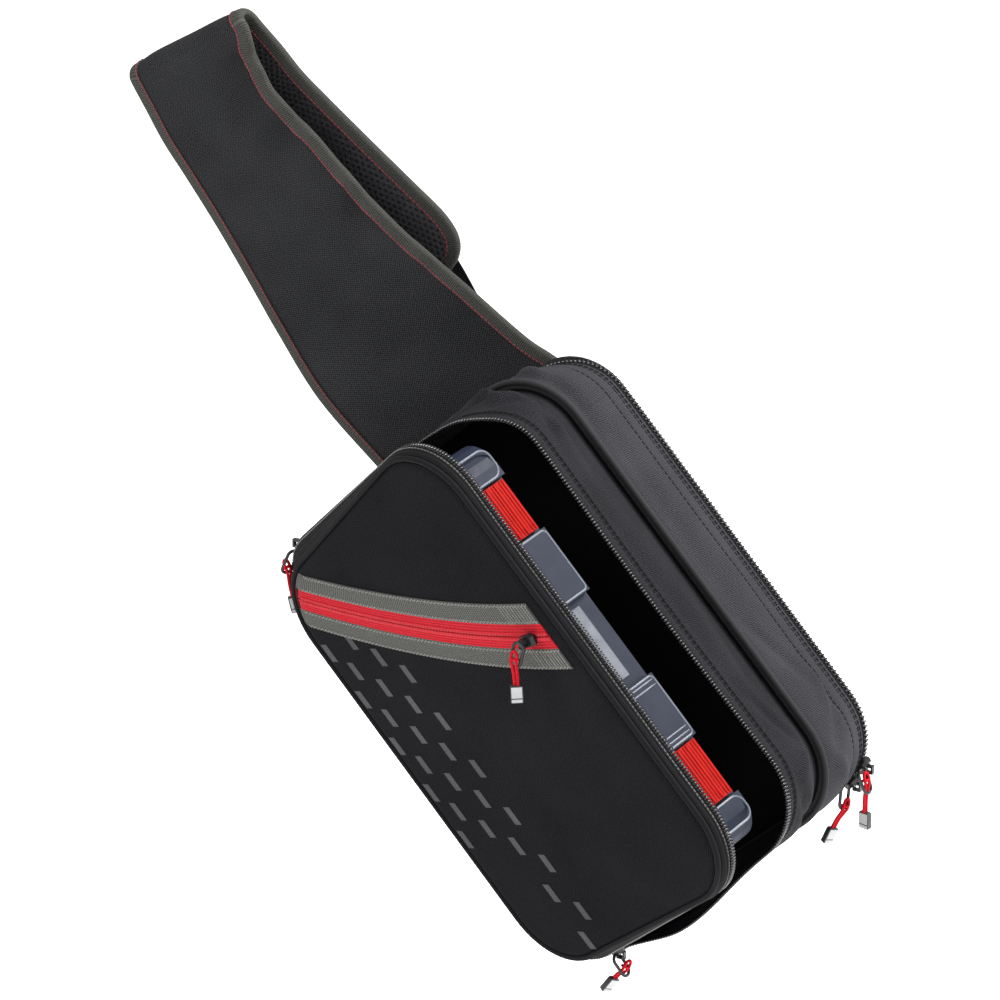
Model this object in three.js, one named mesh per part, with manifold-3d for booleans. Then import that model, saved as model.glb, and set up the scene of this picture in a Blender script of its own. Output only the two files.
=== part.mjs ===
// Fishing tackle sling bag with its front door unzipped and a tackle box inside.
// Millimetres, +Z up. The front door faces -Y, the wearer's back is on the +Y side.
// The bag leans as it is worn, from one shoulder. The origin is the inside of the
// strap's fold, where the shoulder carries it.

import * as THREE from 'three';
import { mergeVertices } from 'three/addons/utils/BufferGeometryUtils.js';
import Module from 'manifold-3d';

const wasm = await Module();
wasm.setup();

const degree = Math.PI / 180;

// How the bag is carried
const lean = 43.4 * degree;
const doorAngle = 16.4 * degree;

// Body
const bagLength = 318;
const bagWidth = 214;
const cornerRadius = 43;
const mainDepth = 47;
const rearDepth = 57;
const bodyTopSlope = 2;
const bodyBottomSlope = 4;
const clothWall = 2;
const mainPuff = 1.5;
const rearPuff = 3.5;
const backPanelThickness = 6;
const panelEdgeRound = 2.5;
const dividerThickness = 2.4;
const gap = 0.3;

// Door
const doorDepth = 14;
const doorPanelThickness = 5;
const doorTopSlope = 16;
const doorBottomSlope = 11;
const rimPuff = 1.6;
const rimFrontPuff = 1.4;
const rimFoot = 0.5;
const doorPipingRadius = 1.8;
const pipingProud = 0.4;
const bodyPipingRadius = 2;

// Zippers
const zipHalfWidth = 3;
const zipThickness = 2.6;
const zipProud = 0.6;
const zipFoot = 0.3;
const rearZipWidth = 6;
const sliderLength = 11;
const sliderWidth = 8.5;
const sliderHeight = 4.5;
const lugSize = 5.4;
const lugHole = 2.8;
const lugWidth = 3;
const lugSunk = 0.9;
const pullWire = 1.7;
const pullWidth = 9;
const pullLength = 17;
const wireSides = 5;
const cordDiameter = 2;
const cordTail = 12;
const tagWidth = 6.5;
const tagDepth = 3.6;
const tagLength = 9;

// Pocket zipper that crosses the door from its upper left to its right side
const pocketLeftHeight = 142.8;
const pocketRightHeight = 14.7;
const pocketSag = 10.35;
const pocketGreyWidth = 12.5;
const pocketRedWidth = 14.5;
const pocketCoilWidth = 4.5;
const pocketLift = 1.2;
const pocketCoilLift = 1.4;
const pocketRightInset = 10;
const pocketSliderShare = 0.895;

// Strap
const strapBaseWidth = 156;
const strapTopWidth = 94;
const strapRise = 298;
const strapDrop = 214;
const strapShift = -4;
const strapThickness = 7;
const foldRadius = 9;
const strapLeanIn = 5;
const strapSpread = 24;
const bindingWidth = 2.6;
const bindingProud = 0.8;
const webbingWidth = 50;
const webbingThickness = 1.8;
const webbingOverlap = 36;
const webbingBow = 7;
const adjusterFrame = 4;
const adjusterHeight = 26;
const adjusterThickness = 5;
const anchorTabLength = 70;
const anchorTabThickness = 2.4;
const anchorTabSpread = 3;
const anchorTabTaper = 6;

// Tackle box
const tackleThickness = 45;
const tackleRadius = 20;
const tackleWall = 2;
const tackleLidThickness = 7;
const tackleLeftGap = 8;
const tackleRightGap = 20;
const tackleBottomGap = 12;
const tackleTopGap = 20;
const notchDepth = 5;
const latchThickness = 4;
const latchRib = 0.8;
const latchRibs = 6;
const latchInset = 3;
const latchMargin = 1.5;

// Colours
const black = 0x17171a;
const charcoal = 0x2a2b2f;
const grey = 0x55574f;
const red = 0xc8161d;
const gunmetal = 0x3a3a3e;
const frosted = 0xc3cfdd;

function lerp(a, b, t) {
  return a + (b - a) * t;
}

function cloth(color) {
  return new THREE.MeshStandardMaterial({ color, roughness: 0.85, metalness: 0 });
}

function metal(color) {
  return new THREE.MeshStandardMaterial({ color, roughness: 0.35, metalness: 0.9 });
}

function plastic(color, opacity = 1) {
  return new THREE.MeshStandardMaterial({
    color, roughness: 0.35, metalness: 0, opacity, transparent: opacity < 1,
  });
}

function named(name, geometry, material) {
  const mesh = new THREE.Mesh(geometry, material);
  mesh.name = name;
  return mesh;
}

// Signed volume of an indexed geometry, negative when its faces point inwards
function signedVolume(geometry) {
  const p = geometry.attributes.position;
  const index = geometry.index;
  const a = new THREE.Vector3();
  const b = new THREE.Vector3();
  const c = new THREE.Vector3();
  let volume = 0;
  for (let i = 0; i < index.count; i += 3) {
    a.fromBufferAttribute(p, index.getX(i));
    b.fromBufferAttribute(p, index.getX(i + 1));
    c.fromBufferAttribute(p, index.getX(i + 2));
    volume += a.dot(b.clone().cross(c)) / 6;
  }
  return volume;
}

function facingOut(geometry) {
  if (signedVolume(geometry) < 0) {
    const index = geometry.index;
    for (let i = 0; i < index.count; i += 3) {
      const swap = index.getX(i);
      index.setX(i, index.getX(i + 1));
      index.setX(i + 1, swap);
    }
  }
  return geometry;
}

// A skin through sections with the same number of points. A closed skin joins its
// last section to its first, an open one gets a cap at each end.
function skin(sections, closed = false) {
  const count = sections[0].length;
  const points = sections.flat().map((p) => p.clone());
  const index = [];
  const bands = closed ? sections.length : sections.length - 1;
  for (let s = 0; s < bands; s++) {
    const next = (s + 1) % sections.length;
    for (let k = 0; k < count; k++) {
      const a = s * count + k;
      const b = s * count + (k + 1) % count;
      const c = next * count + k;
      const d = next * count + (k + 1) % count;
      index.push(a, b, d, a, d, c);
    }
  }
  if (!closed) {
    for (const s of [0, sections.length - 1]) {
      const centre = new THREE.Vector3();
      for (const p of sections[s]) {
        centre.addScaledVector(p, 1 / count);
      }
      const hub = points.push(centre) - 1;
      for (let k = 0; k < count; k++) {
        const a = s * count + k;
        const b = s * count + (k + 1) % count;
        index.push(...(s === 0 ? [hub, b, a] : [hub, a, b]));
      }
    }
  }
  const geometry = new THREE.BufferGeometry();
  geometry.setAttribute('position', new THREE.Float32BufferAttribute(points.flatMap((p) => p.toArray()), 3));
  geometry.setIndex(index);
  return facingOut(geometry);
}

// Joins and cuts of closed meshes
function solid(geometry) {
  const bare = geometry.clone();
  bare.deleteAttribute('normal');
  bare.deleteAttribute('uv');
  const merged = mergeVertices(bare, 1e-4);
  return new wasm.Manifold(new wasm.Mesh({
    numProp: 3,
    vertProperties: new Float32Array(merged.attributes.position.array),
    triVerts: new Uint32Array(merged.index.array),
  }));
}

function fromSolid(body) {
  const mesh = body.getMesh();
  const geometry = new THREE.BufferGeometry();
  geometry.setAttribute('position', new THREE.Float32BufferAttribute(mesh.vertProperties, 3));
  geometry.setIndex(Array.from(mesh.triVerts));
  return geometry;
}

// Outline of the bag's face

const cornerNames = ['upperRight', 'upperLeft', 'lowerLeft', 'lowerRight'];
const cornerSteps = 5;
const shortSteps = 3;
const longSteps = 5;

function insetCorners(corners, inset) {
  const lines = corners.map((p, i) => {
    const q = corners[(i + 1) % corners.length];
    const along = q.clone().sub(p).normalize();
    const inward = new THREE.Vector2(-along.y, along.x);
    return { point: p.clone().addScaledVector(inward, inset), along };
  });
  return lines.map((line, i) => {
    const before = lines[(i + lines.length - 1) % lines.length];
    const cross = before.along.x * line.along.y - before.along.y * line.along.x;
    const between = line.point.clone().sub(before.point);
    const t = (between.x * line.along.y - between.y * line.along.x) / cross;
    return before.point.clone().addScaledVector(before.along, t);
  });
}

// Arcs of a rounded outline, counterclockwise
function cornerArcs(corners, radius) {
  const count = corners.length;
  return corners.map((p, i) => {
    const toBefore = corners[(i + count - 1) % count].clone().sub(p).normalize();
    const toNext = corners[(i + 1) % count].clone().sub(p).normalize();
    const half = Math.acos(toBefore.dot(toNext)) / 2;
    const middle = toBefore.clone().add(toNext).normalize();
    const centre = p.clone().addScaledVector(middle, radius / Math.sin(half));
    const start = p.clone().addScaledVector(toBefore, radius / Math.tan(half)).sub(centre).angle();
    return { centre, start, sweep: Math.PI - 2 * half };
  });
}

// Points of a rounded outline, corner by corner, with each edge cut into steps
function roundedOutline(corners, radius, edgeSteps) {
  const arcs = cornerArcs(corners, radius);
  const points = [];
  arcs.forEach((arc, i) => {
    for (let k = 0; k <= cornerSteps; k++) {
      points.push(arcPoint(arc, radius, arc.start + arc.sweep * k / cornerSteps));
    }
    const next = arcs[(i + 1) % arcs.length];
    const from = points[points.length - 1];
    const to = arcPoint(next, radius, next.start);
    for (let k = 1; k < edgeSteps[i]; k++) {
      points.push(from.clone().lerp(to, k / edgeSteps[i]));
    }
  });
  return points;
}

function arcPoint(arc, radius, angle) {
  return arc.centre.clone().add(new THREE.Vector2(radius * Math.cos(angle), radius * Math.sin(angle)));
}

function faceCorners(mix) {
  const top = lerp(doorTopSlope, bodyTopSlope, mix);
  const bottom = lerp(doorBottomSlope, bodyBottomSlope, mix);
  return [
    new THREE.Vector2(bagWidth / 2, bagLength / 2),
    new THREE.Vector2(-bagWidth / 2, bagLength / 2 - top),
    new THREE.Vector2(-bagWidth / 2, -bagLength / 2 + bottom),
    new THREE.Vector2(bagWidth / 2, -bagLength / 2),
  ];
}

// The outline starts with the upper right corner. mix is 1 on the body and 0 at the
// door's front seam, whose top and bottom slope more.
function faceOutline(inset, mix = 1) {
  const corners = insetCorners(faceCorners(mix), inset);
  return roundedOutline(corners, cornerRadius - inset, [shortSteps, longSteps, shortSteps, longSteps]);
}

function faceLoop(inset, y, mix = 1) {
  return faceOutline(inset, mix).map((p) => new THREE.Vector3(p.x, y, p.y));
}

const outlineCount = faceOutline(0).length;
const lowerLeftStart = 2 * (cornerSteps + 1) + (shortSteps - 1) + (longSteps - 1);
const upperLeftEnd = 2 * (cornerSteps + 1) + (shortSteps - 1) - 1;

// Share of the way round the outline at each of its points
const outlineShares = (() => {
  const loop = faceOutline(0);
  const lengths = loop.map((p, i) => p.distanceTo(loop[(i + 1) % loop.length]));
  const total = lengths.reduce((sum, v) => sum + v, 0);
  let run = 0;
  return lengths.map((v) => {
    const share = run / total;
    run += v;
    return share;
  });
})();

// Soft dents and swells of the two gussets. at and width are shares of the way round,
// push is a share of the named puff, outwards when positive.
const mainFolds = [
  { at: 0.03, width: 0.05, push: -2.4 },
  { at: 0.13, width: 0.04, push: -1.2 },
  { at: 0.7, width: 0.05, push: 1.6 },
  { at: 0.8, width: 0.06, push: -1.0 },
  { at: 0.92, width: 0.08, push: -1.6 },
];
const rearFolds = [
  { at: 0.02, width: 0.05, push: 0.35 },
  { at: 0.12, width: 0.05, push: -0.4 },
  { at: 0.72, width: 0.05, push: 0.3 },
  { at: 0.88, width: 0.08, push: -0.35 },
];

// Where the body's open front edge hangs out at the bottom. push is millimetres outwards
// at the edge, and it fades towards the seam behind.
const frontDroops = [
  { at: 0.609, width: 0.022, push: 12 },
  { at: 0.652, width: 0.022, push: 6.5 },
];

function foldPush(folds, share) {
  let push = 0;
  for (const fold of folds) {
    const away = Math.abs(share - fold.at);
    const near = Math.min(away, 1 - away) / fold.width;
    push += fold.push * Math.exp(-near * near);
  }
  return push;
}

// A ring round the outline from its profile. Each row has an offset outwards and a
// depth y, and may have a mix of the two outlines and shares of the folds and droops.
function ringSections(profile, folds = [], puff = 0, droops = []) {
  const loops = profile.map((row) => {
    const mix = row.mix === undefined ? 1 : row.mix;
    const outer = faceLoop(-row.offset - 1, row.y, mix);
    return faceLoop(-row.offset, row.y, mix).map((p, i) => {
      const push = (row.folds || 0) * puff * foldPush(folds, outlineShares[i])
        + (row.droop || 0) * foldPush(droops, outlineShares[i]);
      return p.clone().addScaledVector(outer[i].sub(p), push);
    });
  });
  return Array.from({ length: outlineCount }, (_, i) => loops.map((loop) => loop[i]));
}

function ring(profile, folds, puff, droops) {
  return skin(ringSections(profile, folds, puff, droops), true);
}

// The part of a ring that the open zipper covers, all but the hinge side
function openRing(profile, droops) {
  const sections = ringSections(profile, [], 0, droops);
  const path = [];
  for (let i = lowerLeftStart; i <= upperLeftEnd + outlineCount; i++) {
    path.push(sections[i % outlineCount]);
  }
  return skin(path);
}

function roundProfile(offset, y, radius, sides, mix = 1) {
  return Array.from({ length: sides }, (_, k) => {
    const angle = 2 * Math.PI * (k + 0.5) / sides;
    return { offset: offset + radius * Math.cos(angle), y: y + radius * Math.sin(angle), mix };
  });
}

// Body

const rearZipStart = mainDepth + rearDepth - rearZipWidth / 2;
const backPanelFront = rearZipStart + rearZipWidth + gap;
const backPanelRear = backPanelFront + backPanelThickness;
const seamHalf = dividerThickness / 2 + gap;

function gussetProfile(front, back, puff) {
  const depth = back - front;
  const outer = [
    { share: 0, lift: 0 },
    { share: 0.1, lift: 0.1 },
    { share: 0.35, lift: 1 },
    { share: 0.7, lift: 0.9 },
    { share: 0.92, lift: 0.1 },
    { share: 1, lift: 0 },
  ];
  const outside = outer.map((row) => ({
    offset: puff * row.lift, y: front + depth * row.share, folds: row.lift, droop: 1 - row.share,
  }));
  const inside = outside.map((row) => ({ ...row, offset: row.offset - clothWall })).reverse();
  return [...outside, ...inside];
}

function bodyPieces() {
  const group = new THREE.Group();
  const mainGusset = ring(
    gussetProfile(zipHalfWidth + gap, mainDepth - seamHalf, mainPuff), mainFolds, mainPuff,
    frontDroops);
  const rearGusset = ring(
    gussetProfile(mainDepth + seamHalf, rearZipStart - gap, rearPuff), rearFolds, rearPuff);
  const divider = skin([
    faceLoop(0, mainDepth - dividerThickness / 2),
    faceLoop(0, mainDepth + dividerThickness / 2),
  ]);
  const piping = ring(roundProfile(bodyPipingRadius + gap, mainDepth, bodyPipingRadius, 6));
  const bodyZipper = openRing([
    { offset: zipFoot, y: zipHalfWidth, droop: 1 },
    { offset: zipProud, y: gap, droop: 1 },
    { offset: zipProud - zipThickness, y: gap, droop: 1 },
    { offset: -clothWall, y: zipHalfWidth, droop: 1 },
  ], frontDroops);
  const rearZipper = ring([
    { offset: 0, y: rearZipStart },
    { offset: zipProud, y: rearZipStart + rearZipWidth / 2 },
    { offset: 0, y: rearZipStart + rearZipWidth },
    { offset: -clothWall, y: rearZipStart + rearZipWidth },
    { offset: -clothWall, y: rearZipStart },
  ]);
  const backPanel = skin([
    faceLoop(panelEdgeRound, backPanelFront),
    faceLoop(0, backPanelFront + panelEdgeRound * 0.6),
    faceLoop(0, backPanelRear - panelEdgeRound * 0.6),
    faceLoop(panelEdgeRound, backPanelRear),
  ]);
  group.add(
    named('main_gusset', mainGusset, cloth(charcoal)),
    named('rear_gusset', rearGusset, cloth(charcoal)),
    named('divider_panel', divider, cloth(black)),
    named('body_piping', piping, cloth(black)),
    named('body_zipper', bodyZipper, cloth(black)),
    named('rear_zipper', rearZipper, cloth(black)),
    named('back_panel', backPanel, cloth(black)),
    named('hinge_strip', hingeStrip(), cloth(charcoal)),
  );
  return group;
}

// The cloth hinge joins door and body along the straight left side
function hingeStrip() {
  const left = -bagWidth / 2;
  const inner = clothWall;
  const doorPoint = (u, y) => new THREE.Vector2(
    left + u * Math.cos(doorAngle) + y * Math.sin(doorAngle),
    -u * Math.sin(doorAngle) + y * Math.cos(doorAngle));
  const section = [
    new THREE.Vector2(left, zipHalfWidth),
    new THREE.Vector2(left, 0),
    doorPoint(0, -zipHalfWidth),
    doorPoint(inner, -zipHalfWidth),
    new THREE.Vector2(left + inner, -inner * Math.sin(doorAngle) / 2),
    new THREE.Vector2(left + inner, zipHalfWidth),
  ];
  const top = bagLength / 2 - bodyTopSlope - cornerRadius - gap;
  const bottom = -bagLength / 2 + bodyBottomSlope + cornerRadius + gap;
  return skin([bottom, top].map((z) => section.map((p) => new THREE.Vector3(p.x, p.y, z))));
}

// Door, in its own frame: x runs across from the hinge, y is the door's normal

const panelInset = doorPipingRadius + 1.5 * gap;
const panelFace = -doorDepth;

function doorShell() {
  const group = new THREE.Group();
  const panel = skin([
    faceLoop(panelInset, panelFace + doorPanelThickness, 0),
    faceLoop(panelInset, panelFace + panelEdgeRound * 0.6, 0),
    faceLoop(panelInset + panelEdgeRound, panelFace, 0),
  ]);
  const pipingY = panelFace + doorPipingRadius - pipingProud;
  const piping = ring(roundProfile(0, pipingY, doorPipingRadius, 6, 0));
  const rimFront = pipingY + doorPipingRadius + gap;
  const rimMiddle = rimFront / 2 - zipHalfWidth / 2;
  const rimBack = -zipHalfWidth - gap;
  const rim = ring([
    { offset: rimFrontPuff, y: rimFront, mix: 0.1 },
    { offset: rimPuff, y: rimMiddle, mix: 0.6 },
    { offset: rimFoot, y: rimBack, mix: 1 },
    { offset: rimFoot - clothWall, y: rimBack, mix: 1 },
    { offset: rimPuff - clothWall, y: rimMiddle, mix: 0.6 },
    { offset: rimFrontPuff - clothWall, y: rimFront, mix: 0.1 },
  ]);
  const zipper = openRing([
    { offset: zipFoot, y: -zipHalfWidth },
    { offset: zipProud, y: -gap },
    { offset: zipProud - zipThickness, y: -gap },
    { offset: -clothWall, y: -zipHalfWidth },
  ]);
  group.add(
    named('door_panel', panel, cloth(black)),
    named('door_piping', piping, cloth(black)),
    named('door_rim', rim, cloth(charcoal)),
    named('door_zipper', zipper, cloth(black)),
  );
  group.position.x = bagWidth / 2;
  return group;
}

// Height of the pocket zipper's middle line at a share of the way across the door
function pocketHeight(share) {
  return lerp(pocketLeftHeight, pocketRightHeight, share) - pocketSag * 4 * share * (1 - share);
}

// A flat band on the door between two offsets from the pocket's middle line. It runs
// into the door's piping on the left.
function pocketBand(low, high, bottom, thickness) {
  const steps = 8;
  const slope = Math.hypot(bagWidth, pocketLeftHeight - pocketRightHeight) / bagWidth;
  const end = 1 - pocketRightInset / bagWidth;
  const sections = [];
  for (let k = 0; k <= steps; k++) {
    const share = end * k / steps;
    const edge = (offset, y) => new THREE.Vector3(
      share * bagWidth, panelFace - y, pocketHeight(share) + offset * slope);
    sections.push([
      edge(low, bottom), edge(high, bottom), edge(high, bottom + thickness), edge(low, bottom + thickness),
    ]);
  }
  const seamInset = doorPipingRadius + gap;
  const field = skin([0, 1].map((end) => faceLoop(seamInset, panelFace - end * doorDepth, 0)
    .map((p) => p.setX(p.x + bagWidth / 2))));
  return fromSolid(solid(skin(sections)).intersect(solid(field)));
}

function pocketPieces() {
  const group = new THREE.Group();
  const redHalf = pocketRedWidth / 2;
  const outer = redHalf + gap + pocketGreyWidth;
  const coil = pocketBand(
    -pocketCoilWidth / 2, pocketCoilWidth / 2, 2 * gap + pocketLift, pocketCoilLift);
  group.add(
    named('pocket_band_upper', pocketBand(redHalf + gap, outer, gap, pocketLift), cloth(grey)),
    named('pocket_band_lower', pocketBand(-outer, -redHalf - gap, gap, pocketLift), cloth(grey)),
    named('pocket_tape', pocketBand(-redHalf, redHalf, gap, pocketLift), cloth(red)),
    named('pocket_coil', coil, plastic(red)),
  );
  return group;
}

// Tackle box, in the door's frame because it leans on the door's inner face

// Notches in the box's right side, from its top, as shares of its length. The latches
// lie in two of them and the third is the finger recess between them.
const notches = [
  { from: 0.098, to: 0.236, latch: 'latch_upper' },
  { from: 0.395, to: 0.61, latch: null },
  { from: 0.766, to: 0.912, latch: 'latch_lower' },
];

const tackleLeft = tackleLeftGap;
const tackleRight = bagWidth - tackleRightGap;
const tackleBottom = -bagLength / 2 + bodyBottomSlope + tackleBottomGap;
const tackleTop = bagLength / 2 - tackleTopGap;
const tackleLength = tackleTop - tackleBottom;
const tackleFront = panelFace + doorPanelThickness + gap;
const tackleBack = tackleFront + tackleThickness;
const traySplit = tackleFront + tackleLidThickness;

function tackleCorners(inset) {
  return [
    new THREE.Vector2(tackleRight - inset, tackleTop - inset),
    new THREE.Vector2(tackleLeft + inset, tackleTop - inset),
    new THREE.Vector2(tackleLeft + inset, tackleBottom + inset),
    new THREE.Vector2(tackleRight - inset, tackleBottom + inset),
  ];
}

function tackleLoop(inset, y) {
  const outline = roundedOutline(tackleCorners(inset), tackleRadius - inset, [1, 1, 1, 1]);
  return outline.map((p) => new THREE.Vector3(p.x, y, p.y));
}

function tackleBlock(low, high, from, to) {
  const box = new THREE.BoxGeometry(high.x - low.x, to - from, high.y - low.y);
  box.translate((high.x + low.x) / 2, (from + to) / 2, (high.y + low.y) / 2);
  return box;
}

function notchCutter(notch, from, to) {
  return solid(tackleBlock(
    new THREE.Vector2(tackleRight - notchDepth, tackleTop - notch.to * tackleLength),
    new THREE.Vector2(tackleRight + notchDepth, tackleTop - notch.from * tackleLength), from, to));
}

function notched(body) {
  return notches.reduce(
    (left, notch) => left.subtract(notchCutter(notch, tackleFront - 1, tackleBack + 1)), body);
}

// A shell that is open on one side, with its right wall inside the notches
function tackleShell(from, to, floorAt, openAt) {
  const outside = notched(solid(skin([tackleLoop(0, from), tackleLoop(0, to)])));
  const pocket = solid(skin([tackleLoop(tackleWall, floorAt), tackleLoop(tackleWall, openAt)]));
  const side = solid(tackleBlock(
    new THREE.Vector2(tackleRight - notchDepth - tackleWall, tackleBottom),
    new THREE.Vector2(tackleRight, tackleTop), from - 1, to + 1));
  return fromSolid(outside.subtract(pocket.subtract(side)));
}

// A snap latch with ribs along the box
function latch(notch) {
  const inner = tackleRight - notchDepth + gap;
  const outer = inner + latchThickness;
  const low = tackleTop - notch.to * tackleLength + latchMargin;
  const high = tackleTop - notch.from * tackleLength - latchMargin;
  const front = tackleFront + latchInset;
  const back = tackleBack - latchInset;
  const points = [new THREE.Vector2(inner, back), new THREE.Vector2(inner, front)];
  for (let k = 0; k < latchRibs; k++) {
    points.push(new THREE.Vector2(outer, lerp(front, back, k / latchRibs)));
    points.push(new THREE.Vector2(outer - latchRib, lerp(front, back, (k + 0.5) / latchRibs)));
  }
  points.push(new THREE.Vector2(outer, back));
  const profile = new THREE.Shape(points);
  const geometry = new THREE.ExtrudeGeometry(profile, { depth: high - low, bevelEnabled: false });
  geometry.translate(0, 0, low);
  return geometry;
}

function tacklePieces() {
  const group = new THREE.Group();
  const base = tackleShell(traySplit + gap, tackleBack, traySplit + gap - 1, tackleBack - tackleWall);
  const lid = tackleShell(tackleFront, traySplit, tackleFront + tackleWall, traySplit + 1);
  group.add(
    named('tackle_base', base, plastic(frosted, 0.6)),
    named('tackle_lid', lid, plastic(frosted, 0.6)),
  );
  for (const notch of notches) {
    if (notch.latch) {
      group.add(named(notch.latch, latch(notch), plastic(red)));
    }
  }
  return group;
}

// Strap

const strapY = (backPanelFront + backPanelRear) / 2;
const strapBase = bagLength / 2 + gap;
const foldY = strapY - strapLeanIn + foldRadius;
const foldZ = strapBase + strapRise;

// Edges of the pad. up and down are shares of strapRise and strapDrop. left and right
// are shares of strapBaseWidth in front and of strapTopWidth behind.
const frontRows = [
  { up: 0, left: -0.488, right: 0.481 },
  { up: 0.064, left: -0.51, right: 0.43 },
  { up: 0.238, left: -0.542, right: 0.344 },
  { up: 0.4, left: -0.507, right: 0.263 },
  { up: 0.52, left: -0.469, right: 0.228 },
  { up: 0.65, left: -0.43, right: 0.209 },
  { up: 0.778, left: -0.401, right: 0.177 },
  { up: 0.86, left: -0.385, right: 0.186 },
  { up: 0.936, left: -0.36, right: 0.21 },
  { up: 1, left: -0.335, right: 0.245 },
];
const rearRows = [
  { down: 0.12, left: -0.5, right: 0.41 },
  { down: 0.3, left: -0.49, right: 0.394 },
  { down: 0.54, left: -0.436, right: 0.445 },
  { down: 0.74, left: -0.383, right: 0.498 },
  { down: 0.88, left: -0.33, right: 0.528 },
  { down: 0.96, left: -0.25, right: 0.47 },
  { down: 1, left: -0.12, right: 0.3 },
];

// Middle line of the pad seen from the side, as points with the pad's outward normal
function strapSide() {
  const line = frontRows.map((row) => ({
    y: strapY - strapLeanIn * row.up * row.up,
    z: strapBase + strapRise * row.up,
    left: row.left * strapBaseWidth,
    right: row.right * strapBaseWidth,
  }));
  const last = line[line.length - 1];
  const first = rearRows[0];
  const turns = 6;
  for (let k = 1; k <= turns; k++) {
    const angle = Math.PI * (1 - k / turns);
    const share = k / turns;
    line.push({
      y: foldY + foldRadius * Math.cos(angle),
      z: foldZ + foldRadius * Math.sin(angle),
      left: lerp(last.left, first.left * strapTopWidth, share),
      right: lerp(last.right, first.right * strapTopWidth, share),
    });
  }
  for (const row of rearRows) {
    line.push({
      y: foldY + foldRadius + strapSpread * row.down,
      z: foldZ - strapDrop * row.down,
      left: row.left * strapTopWidth,
      right: row.right * strapTopWidth,
    });
  }
  return line.map((p, i) => {
    const before = line[Math.max(i - 1, 0)];
    const after = line[Math.min(i + 1, line.length - 1)];
    const along = new THREE.Vector2(after.y - before.y, after.z - before.z).normalize();
    return { ...p, ny: -along.y, nz: along.x };
  });
}

const side = strapSide();

function strapPoint(row, x, lift) {
  return new THREE.Vector3(x + strapShift, row.y + row.ny * lift, row.z + row.nz * lift);
}

function strapPad() {
  const half = strapThickness / 2;
  const edge = strapThickness * 0.3;
  const sections = side.map((row) => [
    strapPoint(row, row.left, 0),
    strapPoint(row, row.left + edge, half),
    strapPoint(row, row.right - edge, half),
    strapPoint(row, row.right, 0),
    strapPoint(row, row.right - edge, -half),
    strapPoint(row, row.left + edge, -half),
  ]);
  return skin(sections);
}

// The binding runs along the pad's left edge, round its lower end and back
function strapBinding() {
  const half = strapThickness / 2 + bindingProud;
  const path = [
    ...side.map((row) => ({ row, x: row.left })),
    ...side.slice().reverse().map((row) => ({ row, x: row.right })),
  ];
  const run = side.map((row, i) => (i === 0 ? 0 : Math.hypot(row.y - side[i - 1].y, row.z - side[i - 1].z)));
  for (let i = 1; i < run.length; i++) {
    run[i] += run[i - 1];
  }
  const flat = path.map(({ row, x }) => new THREE.Vector2(x, run[side.indexOf(row)]));
  const outward = (i) => {
    const before = flat[Math.max(i - 1, 0)];
    const after = flat[Math.min(i + 1, flat.length - 1)];
    const one = flat[i].clone().sub(before).normalize();
    const two = after.clone().sub(flat[i]).normalize();
    const a = new THREE.Vector2(-one.y, one.x);
    const b = new THREE.Vector2(-two.y, two.x);
    if (i === 0) {
      return b;
    }
    if (i === flat.length - 1) {
      return a;
    }
    const middle = a.clone().add(b).normalize();
    return middle.multiplyScalar(1 / middle.dot(a));
  };
  const sections = path.map(({ row }, i) => {
    const out = outward(i);
    const at = (away, lift) => {
      const p = strapPoint(row, flat[i].x + out.x * away, lift);
      p.y += row.nz * out.y * away;
      p.z -= row.ny * out.y * away;
      return p;
    };
    return [
      at(gap, half), at(gap + bindingWidth, half * 0.6),
      at(gap + bindingWidth, -half * 0.6), at(gap, -half),
    ];
  });
  return skin(sections);
}

// The webbing runs from the pad's lower end to the bag's lower left corner

const padEnd = side[side.length - 1];
const webTop = padEnd.z + webbingOverlap;
const webTopX = strapShift + (padEnd.left + padEnd.right) / 2;
const anchorX = -bagWidth / 2 + cornerRadius;
const anchorZ = -bagLength / 2 + bodyBottomSlope + cornerRadius / 2;
const webLift = strapThickness / 2 + gap + webbingThickness / 2;
const tabFace = backPanelRear + gap + anchorTabThickness;

function webRows() {
  const start = side[side.length - 4];
  const slope = (padEnd.y - start.y) / (padEnd.z - start.z);
  const sewnEnd = padEnd.z - 2 * bindingWidth;
  const sewn = (z) => ({ z, y: padEnd.y + slope * (z - padEnd.z) + webLift + bindingProud + gap });
  const rows = [sewn(webTop), sewn(sewnEnd)];
  const bottomY = tabFace + gap + webbingThickness / 2;
  const steps = 7;
  for (let k = 1; k <= steps; k++) {
    const share = k / steps;
    const bow = webbingBow * 4 * share * (1 - share);
    rows.push({
      z: lerp(sewnEnd, anchorZ + webbingOverlap, share),
      y: lerp(rows[1].y, bottomY, share) + bow,
    });
  }
  rows.push({ z: anchorZ, y: bottomY });
  return rows.map((row) => ({ ...row, x: lerp(webTopX, anchorX, (webTop - row.z) / (webTop - anchorZ)) }));
}

function webAcross() {
  return new THREE.Vector3(webTop - anchorZ, 0, anchorX - webTopX).normalize();
}

function ribbon(rows, width, thickness) {
  const across = webAcross();
  const sections = rows.map((row, i) => {
    const before = rows[Math.max(i - 1, 0)];
    const after = rows[Math.min(i + 1, rows.length - 1)];
    const along = new THREE.Vector3(after.x - before.x, after.y - before.y, after.z - before.z);
    const normal = along.cross(across).normalize();
    const at = (u, v) => new THREE.Vector3(row.x, row.y, row.z)
      .addScaledVector(across, u * width / 2)
      .addScaledVector(normal, v * thickness / 2);
    return [at(-1, -1), at(1, -1), at(1, 1), at(-1, 1)];
  });
  return skin(sections);
}

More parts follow.
